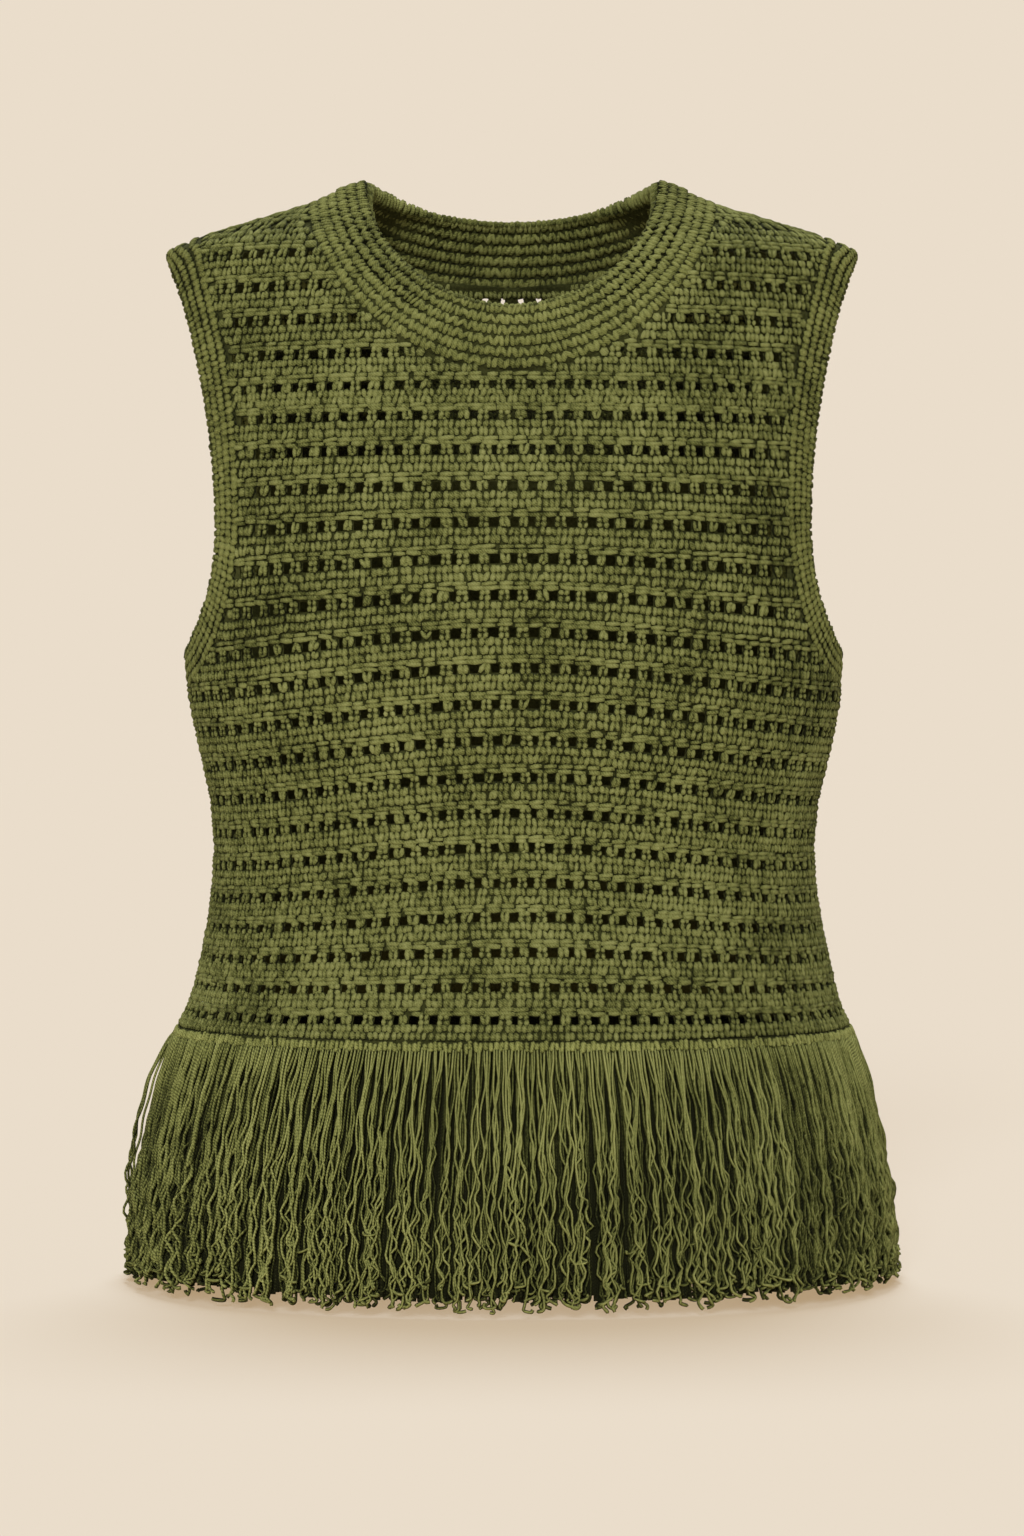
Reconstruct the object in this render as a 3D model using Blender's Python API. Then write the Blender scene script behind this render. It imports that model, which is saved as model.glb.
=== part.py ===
"""Fringe knit top, worn shape with no wearer. Metres, +Z up, front at -Y.

The row's origin is the middle of the neck at the height of the neck points.
"""
import math

import bmesh
import bpy
import numpy as np
from mathutils import Vector
from mathutils.geometry import delaunay_2d_cdt

for old in list(bpy.data.objects):
    bpy.data.objects.remove(old, do_unlink=True)

MM = 0.001

# Driving sizes, in millimetres
WALL = 3.6
GROOVE = 1.5
SEAM = 0.3
HEM_Z = -423.0
BAND_WALL = 4.2
BAND_GROOVE = 1.3
ARM_WALL = 4.2
ARM_GROOVE = 1.2
NECK_ROUNDS = 6
ARM_ROUNDS = 4
ROUNDNESS = 2.2
NECK_SIDE_X = 105.0
NECK_SIDE_Z = 2.2
RIDGE_X = 160.5
STRANDS = 100
STRIP_TALL = 4.6
STRIP_WALL = 3.4
FRINGE_END = -550.5
ACROSS = 20

# Body sections: height, half width, front depth, back depth, and how far the middle stands to +X
SECTIONS = [
    ("z", "wide", "front", "back", "aside"),
    (-560.0, 200.0, 151.0, 146.0, 0.2),
    (-549.0, 199.0, 150.0, 145.0, 0.2),
    (-505.0, 196.0, 146.0, 140.0, 0.4),
    (-474.0, 189.8, 140.0, 133.0, 0.8),
    (-453.0, 185.4, 134.0, 127.0, 1.0),
    (-443.0, 182.2, 131.0, 124.0, 1.0),
    (-432.0, 178.4, 128.0, 121.0, 1.0),
    (-422.0, 174.0, 125.0, 118.5, 1.0),
    (-412.0, 169.4, 122.0, 116.0, 1.2),
    (-401.0, 166.2, 119.5, 113.5, 1.4),
    (-391.0, 164.0, 117.5, 111.0, 1.5),
    (-370.0, 159.6, 113.0, 106.0, 1.3),
    (-349.0, 156.9, 109.0, 101.0, 1.0),
    (-332.0, 156.0, 108.0, 98.5, 1.0),
    (-308.0, 158.0, 109.0, 98.0, 1.3),
    (-297.0, 160.5, 110.5, 98.5, 1.5),
    (-276.0, 165.4, 114.0, 101.0, 1.6),
    (-256.0, 169.2, 116.5, 103.5, 1.4),
    (-245.0, 170.4, 117.5, 104.5, 1.0),
    (-235.0, 170.8, 118.0, 105.0, 0.8),
    (-200.0, 172.0, 116.0, 104.0, 0.7),
    (-160.0, 174.5, 110.0, 99.0, 0.5),
    (-130.0, 176.5, 103.0, 93.5, 0.3),
    (-94.0, 178.5, 93.0, 85.0, 0.2),
    (-60.0, 179.3, 81.0, 75.0, 0.0),
    (-32.0, 179.7, 69.0, 66.0, 0.0),
    (-26.0, 179.6, 64.0, 62.0, 0.0),
    (-22.7, 178.3, 61.0, 59.5, 0.0),
    (-18.5, 169.5, 57.0, 55.5, 0.0),
    (-14.4, 159.5, 52.5, 51.5, 0.0),
    (2.2, 105.0, 36.0, 36.0, 0.0),
    (11.0, 79.0, 22.0, 22.0, 0.0),
]

# Eyelet rows from the top: height at the centre front, and how far the row hangs lower at the side
ROWS = [
    ("z", "dip"),
    (-13.0, 0.0),
    (-30.1, 0.0),
    (-48.0, 0.0),
    (-66.0, 0.0),
    (-84.4, 0.0),
    (-101.4, 0.0),
    (-116.6, 0.0),
    (-134.2, 0.0),
    (-152.3, 1.0),
    (-170.4, 2.6),
    (-188.5, 5.0),
    (-206.6, 7.4),
    (-224.8, 10.0),
    (-242.4, 11.0),
    (-260.0, 11.5),
    (-277.7, 11.5),
    (-295.7, 10.7),
    (-313.1, 10.0),
    (-329.9, 9.5),
    (-346.9, 9.0),
    (-363.4, 7.5),
    (-380.3, 6.0),
    (-397.3, 3.5),
    (-412.8, 1.5),
]

# Armhole: the panel's edge, and the band's outer edge beside it, both as seen from the front
ARMHOLE = [
    ("panel_x", "panel_z", "edge_x", "edge_z"),
    (160.5, -14.8, 179.6, -26.0),
    (160.2, -15.6, 178.9, -28.0),
    (159.8, -17.5, 177.6, -31.5),
    (159.2, -21.0, 175.5, -36.5),
    (158.2, -28.0, 172.8, -43.5),
    (155.5, -41.0, 169.2, -53.0),
    (151.0, -58.0, 165.3, -66.0),
    (145.8, -79.0, 161.0, -83.0),
    (142.2, -100.0, 156.8, -103.0),
    (139.8, -120.0, 153.8, -121.0),
    (138.5, -140.0, 151.5, -140.0),
    (137.8, -160.0, 150.3, -159.0),
    (138.4, -178.0, 150.2, -176.0),
    (140.8, -194.0, 151.8, -191.0),
    (144.2, -209.0, 155.0, -204.0),
    (149.6, -225.0, 159.8, -216.0),
    (157.8, -240.0, 165.6, -226.5),
    (169.0, -251.0, 170.8, -232.5),
]


def column(table, name):
    return np.array([row[table[0].index(name)] for row in table[1:]], float)


SEC_Z = column(SECTIONS, "z")
SEC_W = column(SECTIONS, "wide")
SEC_F = column(SECTIONS, "front")
SEC_B = column(SECTIONS, "back")
SEC_X = column(SECTIONS, "aside")
ROW_Z = column(ROWS, "z")
ROW_DIP = column(ROWS, "dip")
RIDGE_ROWS = np.nonzero(SEC_Z >= -26.0)[0]
LEVELS = 801
STEPS = 129


def quarter(power, count):
    """Points of a unit superellipse quarter, from the middle of the front to the side."""
    a = np.linspace(0.0, math.pi / 2, count)
    return np.sin(a) ** (2.0 / power), np.cos(a) ** (2.0 / power)


def build_grid(depth):
    """A table of the surface over height and share of the way round, for one side."""
    zs = np.linspace(SEC_Z[0], SEC_Z[-1], LEVELS)
    unit_x, unit_y = quarter(ROUNDNESS, 720)
    xs = np.zeros((LEVELS, STEPS))
    ys = np.zeros((LEVELS, STEPS))
    arcs = np.zeros(LEVELS)
    for i, z in enumerate(zs):
        x = unit_x * np.interp(z, SEC_Z, SEC_W)
        y = unit_y * np.interp(z, SEC_Z, depth)
        run = np.concatenate([[0.0], np.cumsum(np.hypot(np.diff(x), np.diff(y)))])
        share = np.linspace(0.0, run[-1], STEPS)
        xs[i] = np.interp(share, run, x)
        ys[i] = np.interp(share, run, y)
        arcs[i] = run[-1]
    return zs, xs, ys, arcs


GRIDS = {"front": build_grid(SEC_F), "back": build_grid(SEC_B)}
SIGN = {"front": -1.0, "back": 1.0}


def look_up(table, zs, z, q):
    i = np.clip((z - zs[0]) / (zs[1] - zs[0]), 0, LEVELS - 1.001)
    j = np.clip(np.abs(q) * (STEPS - 1), 0, STEPS - 1.0001)
    i0 = i.astype(int)
    j0 = j.astype(int)
    di = i - i0
    dj = j - j0
    low = table[i0, j0] * (1 - dj) + table[i0, j0 + 1] * dj
    high = table[i0 + 1, j0] * (1 - dj) + table[i0 + 1, j0 + 1] * dj
    return low * (1 - di) + high * di


def surface(side, z, q):
    """The outermost surface at height z and share q of the way round, -1 to 1."""
    z = np.asarray(z, float)
    q = np.asarray(q, float)
    zs, xs, ys, _ = GRIDS[side]
    x = look_up(xs, zs, z, q) * np.sign(q) + np.interp(z, SEC_Z, SEC_X)
    y = look_up(ys, zs, z, q) * SIGN[side]
    return np.stack([x, y, z], -1)


def normal(side, z, q):
    """Outward normals, with no front to back lean at the sides, so that the halves meet flush."""
    z = np.asarray(z, float)
    q = np.asarray(q, float)
    reach = np.abs(q)
    qa = np.clip(reach - 0.008, 0.0, 1.0)
    qb = np.clip(reach + 0.008, 0.0, 1.0)
    zs, xs, ys, _ = GRIDS[side]

    def flat(zz, qq):
        return np.stack([look_up(xs, zs, zz, qq), -look_up(ys, zs, zz, qq), zz], -1)

    around = flat(z, qb) - flat(z, qa)
    up = flat(np.minimum(z + 2.0, SEC_Z[-1]), reach) - flat(z - 2.0, reach)
    n = np.cross(around, up)
    n /= np.linalg.norm(n, axis=-1, keepdims=True)
    ends = reach > 0.999
    n[..., 1] = np.where(ends, 0.0, n[..., 1])
    middle = reach < 0.001
    n[..., 0] = np.where(middle, 0.0, n[..., 0])
    n /= np.linalg.norm(n, axis=-1, keepdims=True)
    n[..., 0] *= np.where(q < 0, -1.0, 1.0)
    if side == "back":
        n[..., 1] *= -1.0
    return n


def share_at(side, x, z):
    """How far round the section a front-view point lies."""
    zs, xs, _, _ = GRIDS[side]
    shares = np.linspace(0.0, 1.0, 513)
    reach = look_up(xs, zs, np.full(513, float(z)), shares)
    return math.copysign(float(np.interp(abs(x), reach, shares)), x)


def hang(q):
    t = np.clip(np.abs(np.asarray(q, float)) / 0.8, 0.0, 1.0)
    return 1.1 * t * t * (3.0 - 2.0 * t)


def lift(side, z):
    """Rows of the upper back lie lower than those of the front."""
    if side == "front":
        return 0.0
    t = np.clip((np.asarray(z, float) + 232.0) / 147.0, 0.0, 1.0)
    return 9.4 * t * t * (3.0 - 2.0 * t)


def row_height(side, level, q):
    """Height of a course: level counts eyelet rows from the top, parts of one lie between rows."""
    level = np.asarray(level, float)
    counts = np.arange(len(ROW_Z))
    z = np.interp(level, counts, ROW_Z)
    below = np.clip(level - counts[-1], 0.0, None) * (ROW_Z[-1] - ROW_Z[-2])
    above = np.clip(-level, 0.0, None) * (ROW_Z[0] - ROW_Z[1])
    z = z + below + above
    dip = np.interp(level, counts, ROW_DIP)
    return z - dip * hang(q) - lift(side, z)


def level_at(side, z, q):
    low = np.full(np.shape(z), -3.0)
    high = np.full(np.shape(z), len(ROW_Z) + 2.0)
    for _ in range(40):
        mid = (low + high) / 2
        over = row_height(side, mid, q) > z
        low = np.where(over, mid, low)
        high = np.where(over, high, mid)
    return (low + high) / 2


NECK_OUT = {"front": 96.2, "back": 34.8}
NECK_TOP_Z = 12.6
NECK_TOP = {"front": 72.4, "back": 11.0}
NECK_FALL = {"front": 1.15, "back": 2.0}
NECK_DEEP = {"front": 70.0, "back": 64.0}
NECK_MID_Y = -9.0
NECK_HALF = 76.0


def neck_edge(side, a):
    """Front-view point of the neckline, where panel and band meet. a runs from 0 at the middle to 90 degrees."""
    s = math.sin(a)
    c = max(math.cos(a), 0.0)
    return NECK_SIDE_X * s, NECK_SIDE_Z - NECK_OUT[side] * c**1.2


def neck_top(side, a):
    s = math.sin(a)
    c = max(math.cos(a), 0.0)
    y = NECK_MID_Y + SIGN[side] * NECK_DEEP[side] * c
    return Vector((NECK_HALF * s, y, NECK_TOP_Z - NECK_TOP[side] * c ** NECK_FALL[side]))


NECK_STEPS = 10
RIDGE_STEPS = 4


def panel_outline(side):
    """Half the panel's edge as (share, height) pairs, from the bottom middle round to the top middle."""
    pts = []
    for j in range(ACROSS // 2 + 1):
        q = j * 2.0 / ACROSS
        pts.append((q, HEM_Z, "hem"))
    arm_x = column(ARMHOLE, "panel_x")
    arm_z = column(ARMHOLE, "panel_z")
    under = arm_z[-1]
    level = float(level_at(side, HEM_Z, 1.0))
    last = float(level_at(side, under, 1.0))
    at = math.floor(level * 3 - 0.4) / 3.0
    while at > last + 0.15:
        pts.append((1.0, float(row_height(side, at, 1.0)), "side"))
        at -= 1.0 / 3.0
    pts.append((1.0, under - SEAM / 2, "corner"))
    for x, z in list(zip(arm_x, arm_z))[-2:0:-1]:
        pts.append((share_at(side, x, z), z, "arm"))
    for k in range(RIDGE_STEPS + 1):
        start = RIDGE_X - SEAM / 2
        x = start + (NECK_SIDE_X + SEAM / 2 - start) * k / RIDGE_STEPS
        z = float(np.interp(-x, -SEC_W[RIDGE_ROWS], SEC_Z[RIDGE_ROWS]))
        pts.append((1.0, z, "ridge"))
    for k in range(1, NECK_STEPS + 1):
        a = math.pi / 2 * (1 - k / NECK_STEPS)
        x, z = neck_edge(side, a)
        pts.append((share_at(side, x, z), z, "neck"))
    return pts


def inset(points, gap):
    """Move an edge's points inwards by the seam gap, in millimetres, in the (share, height) plane."""
    wide = 230.0
    out = []
    count = len(points)
    for i, (q, z, kind) in enumerate(points):
        before = points[max(i - 1, 0)]
        after = points[min(i + 1, count - 1)]
        dq = (after[0] - before[0]) * wide
        dz = after[1] - before[1]
        size = math.hypot(dq, dz) or 1.0
        nq = -dz / size
        nz = dq / size
        if kind in ("side", "corner", "ridge"):
            out.append((q, z, kind))
        else:
            if q < 1e-6:
                nq = 0.0
                nz = math.copysign(1.0, nz)
            out.append((max(q + nq * gap / wide, 0.0), z + nz * gap, kind))
    return out


def full_outline(side):
    half = inset(panel_outline(side), SEAM / 2)
    return half + [(-q, z, kind) for q, z, kind in half[-2:0:-1]]


def rib(level):
    """Depth below the outermost surface over one repeat, deepest at an eyelet row."""
    t = np.asarray(level, float) % 1.0
    return np.interp(t, [0.0, 0.28, 0.7, 1.0], [GROOVE, 0.0, 0.35, GROOVE])


def inside(q, z, outline, margin):
    """Is a point inside the outline, and further than margin from it?"""
    wide = 230.0
    hit = False
    count = len(outline)
    for i in range(count):
        q0, z0, _ = outline[i]
        q1, z1, _ = outline[(i + 1) % count]
        if (z0 > z) != (z1 > z):
            if q < (q1 - q0) * (z - z0) / (z1 - z0) + q0:
                hit = not hit
        ax, az = (q0 - q) * wide, z0 - z
        bx, bz = (q1 - q) * wide, z1 - z
        dx, dz = bx - ax, bz - az
        span = dx * dx + dz * dz
        t = 0.0 if span < 1e-9 else max(0.0, min(1.0, -(ax * dx + az * dz) / span))
        if math.hypot(ax + t * dx, az + t * dz) < margin:
            return False
    return hit


def lattice(side, outline, per_row, columns, margin):
    pts = []
    top = float(level_at(side, 0.0, 0.9))
    low = float(level_at(side, HEM_Z, 0.0))
    at = math.ceil(top * per_row) / per_row
    while at < low:
        for j in range(columns + 1):
            q = -1.0 + 2.0 * j / columns
            if abs(q) > 0.995:
                continue
            z = float(row_height(side, at, q))
            if inside(q, z, outline, margin):
                pts.append((q, z, "inner"))
        at += 1.0 / per_row
    return pts


def triangulate(outline, inner, squeeze):
    verts = [Vector((q * squeeze, z)) for q, z, _ in outline + inner]
    edges = [(i, (i + 1) % len(outline)) for i in range(len(outline))]
    done = delaunay_2d_cdt(verts, edges, [], 1, 1e-6)
    new, faces, origin = done[0], done[2], done[3]
    if len(new) != len(verts):
        raise ValueError("the outline of a panel met itself")
    back = [o[0] for o in origin]
    return [tuple(back[i] for i in face) for face in faces]


def mesh_object(name, verts, faces, colour):
    mesh = bpy.data.meshes.new(name)
    mesh.from_pydata([tuple(float(c) * MM for c in v) for v in verts], [], faces)
    bm = bmesh.new()
    bm.from_mesh(mesh)
    bmesh.ops.recalc_face_normals(bm, faces=bm.faces)
    if bm.calc_volume(signed=True) < 0:
        bmesh.ops.reverse_faces(bm, faces=bm.faces)
    bmesh.ops.triangulate(bm, faces=bm.faces)
    loose = [e for e in bm.edges if len(e.link_faces) != 2]
    if loose:
        raise ValueError(f"{name} has {len(loose)} open edges")
    bm.to_mesh(mesh)
    bm.free()
    obj = bpy.data.objects.new(name, mesh)
    bpy.context.scene.collection.objects.link(obj)
    material = bpy.data.materials.new(f"{name}_yarn")
    material.use_nodes = True
    shader = material.node_tree.nodes["Principled BSDF"]
    shader.inputs["Base Color"].default_value = (*colour, 1.0)
    shader.inputs["Roughness"].default_value = 0.9
    material.diffuse_color = (*colour, 1.0)
    mesh.materials.append(material)
    return obj


def build_panel(side, name, colour):
    outline = full_outline(side)
    dense = lattice(side, outline, 3, ACROSS, 3.2)
    sparse = lattice(side, outline, 1, ACROSS, 9.0)
    outer = triangulate(outline, dense, 62.0)
    inner = triangulate(outline, sparse, 150.0)
    rim = len(outline)

    def place(points, depth_of):
        q = np.array([p[0] for p in points])
        z = np.array([p[1] for p in points])
        base = surface(side, z, q)
        n = normal(side, z, q)
        out = base - n * depth_of(q, z)[:, None]
        seam = np.abs(q) > 0.999
        out[:, 1] = np.where(seam, SIGN[side] * SEAM / 2, out[:, 1])
        return out

    verts = list(place(outline + dense, lambda q, z: rib(level_at(side, z, q))))
    shift = len(verts)
    verts += list(place(outline + sparse, lambda q, z: np.full(len(q), WALL)))
    faces = list(outer)
    faces += [tuple(shift + i for i in reversed(face)) for face in inner]
    for i in range(rim):
        j = (i + 1) % rim
        faces.append((i, j, shift + j, shift + i))
    return mesh_object(name, verts, faces, colour)


def tube_wall(name, rings_out, rings_in, colour):
    """A closed band: outer rings and inner rings of points, both from one edge to the other."""
    verts = []
    faces = []
    count = len(rings_out[0])
    rings = list(rings_out) + list(reversed(rings_in))
    for ring in rings:
        verts += list(ring)
    for r in range(len(rings)):
        s = (r + 1) % len(rings)
        for i in range(count):
            j = (i + 1) % count
            faces.append((r * count + i, r * count + j, s * count + j, s * count + i))
    return mesh_object(name, verts, faces, colour)


def neck_station(side, a, sign):
    x, z = neck_edge(side, a)
    q = share_at(side, x, z) if a < math.pi / 2 - 1e-6 else 1.0
    height = np.array([z])
    share = np.array([q])
    seam = surface(side, height, share * sign)[0]
    n = normal(side, height, share * sign)[0]
    if q > 0.999:
        seam[1] = 0.0
    top = np.array(neck_top(side, a))
    top[0] *= sign
    return seam, n, top


def build_neck(colour):
    stations = []
    turns = [("front", 1.0), ("back", 1.0), ("back", -1.0), ("front", -1.0)]
    for side, sign in turns:
        rising = (side == "front") == (sign > 0)
        for k in range(NECK_STEPS):
            share = k / NECK_STEPS if rising else 1 - k / NECK_STEPS
            stations.append(neck_station(side, share * math.pi / 2, sign))
    seam = np.array([s[0] for s in stations])
    seam_n = np.array([s[1] for s in stations])
    top = np.array([s[2] for s in stations])
    along = np.roll(seam, -1, 0) - np.roll(seam, 1, 0)
    across = top - seam
    own = np.cross(across, along)
    own /= np.linalg.norm(own, axis=1, keepdims=True)
    flip = np.sum(own * seam_n, axis=1) < 0
    own[flip] *= -1
    reach = np.linalg.norm(across, axis=1, keepdims=True)
    step_off = across / reach * (SEAM / 2)
    outs = []
    ins = []
    parts = NECK_ROUNDS * 2
    for k in range(parts + 1):
        s = k / parts
        n = seam_n * (1 - s) + own * s
        n /= np.linalg.norm(n, axis=1, keepdims=True)
        base = (seam + step_off) * (1 - s) + top * s
        stand = math.sin(math.pi * s) * 0.8
        depth = BAND_GROOVE if k % 2 == 0 else 0.0
        if k == parts:
            depth = 1.4
        outs.append(base + n * (stand - depth))
        if k % 3 == 0:
            short = 0.6 if k == parts else 0.0
            ins.append(base + n * (stand - BAND_WALL + short))
    return tube_wall("neck_band", outs, ins, colour)


def build_arm(sign, name, colour):
    px = column(ARMHOLE, "panel_x")
    pz = column(ARMHOLE, "panel_z")
    ex = column(ARMHOLE, "edge_x")
    ez = column(ARMHOLE, "edge_z")
    count = len(px)
    stations = []
    for side in ("front", "back"):
        order = range(count - 1) if side == "front" else range(count - 1, 0, -1)
        for i in order:
            ends = i in (0, count - 1)
            qp = 1.0 if ends else share_at(side, px[i], pz[i])
            qe = 1.0 if ends else share_at(side, ex[i], ez[i])
            stations.append((side, qp, pz[i], qe, ez[i], ends))
    outs = []
    ins = []
    parts = ARM_ROUNDS * 2
    for k in range(parts + 1):
        s = k / parts
        ring_out = []
        ring_in = []
        for side, qp, zp, qe, ze, ends in stations:
            dq = (qe - qp) * 230.0
            dz = ze - zp
            size = math.hypot(dq, dz)
            q0 = qp + (qe - qp) * (SEAM / 2) / size if not ends else 1.0
            z0 = zp + dz * (SEAM / 2) / size
            q = np.array([q0 * (1 - s) + qe * s]) * sign
            z = np.array([z0 * (1 - s) + ze * s])
            base = surface(side, z, q)[0]
            n = normal(side, z, q)[0]
            if ends:
                base[1] = 0.0
            stand = math.sin(math.pi * s) * 0.4
            depth = ARM_GROOVE if k % 2 == 0 else 0.0
            if k == parts:
                depth = 1.3
            tuck = 0.7 if k == parts else 0.0
            ring_out.append(base + n * (stand - depth))
            ring_in.append(base + n * (stand - ARM_WALL + tuck))
        outs.append(ring_out)
        if k % 4 == 0:
            ins.append(ring_in)
    return tube_wall(name, outs, ins, colour)


def build_fringe(side, name, colour, seed):
    """A heading row with locks drawn down from it, each in its own lane."""
    rng = np.random.default_rng(seed)
    top_z = HEM_Z - SEAM / 2
    low_z = top_z - STRIP_TALL
    lanes = np.linspace(-1.0, 1.0, STRANDS + 1)
    trim = SEAM / 2 / 235.0
    lanes = lanes * (1.0 - trim)
    pitch = lanes[1] - lanes[0]
    duty = 0.38

    def at(z, q, depth):
        z = np.array([float(z)])
        q = np.array([float(q)])
        return (surface(side, z, q) - normal(side, z, q) * depth)[0]

    verts = []
    faces = []
    marks = [lanes[0]]
    for i in range(STRANDS):
        mid = (lanes[i] + lanes[i + 1]) / 2
        marks += [mid - duty * pitch, mid + duty * pitch]
    marks.append(lanes[-1])
    low_out = []
    low_in = []
    for q in marks:
        low_out.append(len(verts))
        verts.append(at(low_z, q, 0.3))
        low_in.append(len(verts))
        verts.append(at(low_z, q, STRIP_WALL))
    top_marks = marks[::10] + ([marks[-1]] if (len(marks) - 1) % 10 else [])
    top_out = []
    top_in = []
    for q in top_marks:
        top_out.append(len(verts))
        verts.append(at(top_z, q, 0.8))
        top_in.append(len(verts))
        verts.append(at(top_z, q, STRIP_WALL))

    def zip_faces(lows, tops):
        found = []
        i = j = 0
        while i < len(lows) - 1 or j < len(tops) - 1:
            next_low = marks[i + 1] if i < len(lows) - 1 else 9.0
            next_top = top_marks[j + 1] if j < len(tops) - 1 else 9.0
            if next_low <= next_top:
                found.append((lows[i], lows[i + 1], tops[j]))
                i += 1
            else:
                found.append((lows[i], tops[j + 1], tops[j]))
                j += 1
        return found

    faces += zip_faces(low_out, top_out)
    faces += [tuple(reversed(f)) for f in zip_faces(low_in, top_in)]
    for j in range(len(top_marks) - 1):
        faces.append((top_out[j], top_out[j + 1], top_in[j + 1], top_in[j]))
    faces.append((low_out[0], top_out[0], top_in[0], low_in[0]))
    faces.append((low_out[-1], low_in[-1], top_in[-1], top_out[-1]))
    for i in range(len(marks) - 1):
        if i % 2 == 0:
            faces.append((low_out[i], low_in[i], low_in[i + 1], low_out[i + 1]))
    for lane in range(STRANDS):
        a = 1 + 2 * lane
        mid = (lanes[lane] + lanes[lane + 1]) / 2
        ring = [low_out[a], low_in[a], low_in[a + 1], low_out[a + 1]]
        end = FRINGE_END + abs(rng.normal(0.0, 1.8))
        phase = rng.uniform(0, 2 * math.pi)
        sway = rng.uniform(0.03, 0.08)
        for k, share in enumerate((0.34, 0.7, 1.0)):
            z = low_z + (end - low_z) * share
            q = mid + pitch * sway * math.sin(phase + share * 5.0)
            half = pitch * (0.37, 0.37, 0.27)[k]
            face_out = (0.2, 0.3, 1.0)[k] + rng.uniform(0, 0.5)
            deep = (3.6, 3.4, 2.2)[k]
            corners = [
                (q - half, face_out),
                (q - half, face_out + deep),
                (q + half, face_out + deep),
                (q + half, face_out),
            ]
            new = []
            for cq, cd in corners:
                new.append(len(verts))
                verts.append(at(z, cq, cd))
            for c in range(4):
                d = (c + 1) % 4
                faces.append((ring[c], ring[d], new[d], new[c]))
            ring = new
        faces.append(tuple(ring))
    return mesh_object(name, verts, faces, colour)


GREEN = (0.155, 0.158, 0.045)
DEEP = (0.14, 0.143, 0.04)
build_panel("front", "front_panel", GREEN)
build_panel("back", "back_panel", GREEN)
build_neck(DEEP)
build_arm(1.0, "armhole_band_left", DEEP)
build_arm(-1.0, "armhole_band_right", DEEP)
build_fringe("front", "fringe_front", GREEN, 11)
build_fringe("back", "fringe_back", GREEN, 12)
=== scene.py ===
"""Looks of the fringe knit top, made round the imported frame. Sizes in millimetres until a mesh is made."""
import math

import bpy
import numpy as np
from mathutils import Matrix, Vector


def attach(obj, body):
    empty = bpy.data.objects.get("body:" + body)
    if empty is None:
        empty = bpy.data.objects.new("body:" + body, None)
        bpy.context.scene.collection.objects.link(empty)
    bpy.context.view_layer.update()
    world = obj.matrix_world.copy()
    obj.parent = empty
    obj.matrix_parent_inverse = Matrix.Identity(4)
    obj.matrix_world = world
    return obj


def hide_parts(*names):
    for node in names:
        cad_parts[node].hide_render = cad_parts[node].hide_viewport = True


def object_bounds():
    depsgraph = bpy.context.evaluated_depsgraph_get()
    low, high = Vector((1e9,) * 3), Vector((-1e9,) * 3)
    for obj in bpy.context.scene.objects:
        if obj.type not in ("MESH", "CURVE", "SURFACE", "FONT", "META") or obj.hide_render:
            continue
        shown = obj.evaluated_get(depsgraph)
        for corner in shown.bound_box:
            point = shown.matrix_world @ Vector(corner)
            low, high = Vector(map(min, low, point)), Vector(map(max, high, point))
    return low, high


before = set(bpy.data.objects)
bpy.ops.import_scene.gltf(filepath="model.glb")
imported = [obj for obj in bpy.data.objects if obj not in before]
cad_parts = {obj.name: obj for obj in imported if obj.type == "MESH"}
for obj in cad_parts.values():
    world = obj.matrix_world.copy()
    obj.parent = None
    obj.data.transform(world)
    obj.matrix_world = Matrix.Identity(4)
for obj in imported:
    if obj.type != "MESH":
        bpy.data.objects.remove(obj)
cad_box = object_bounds()

# The solids' own sizes and surface, repeated from the part's source
HEM_Z = -423.0
SEAM = 0.3
BAND_WALL = 4.2
ROUNDNESS = 2.2
NECK_SIDE_X = 105.0
NECK_SIDE_Z = 2.2
NECK_OUT = {"front": 96.2, "back": 34.8}
NECK_POWER = 1.2
NECK_TOP_Z = 12.6
NECK_TOP = {"front": 72.4, "back": 11.0}
NECK_FALL = {"front": 1.15, "back": 2.0}
NECK_DEEP = {"front": 70.0, "back": 64.0}
NECK_MID_Y = -9.0
NECK_HALF = 76.0
RIDGE_Z = -14.8
FRINGE_END = -550.5

# Where the photograph was taken from
CAMERA = (0.0, -1800.0, -291.0)

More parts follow.
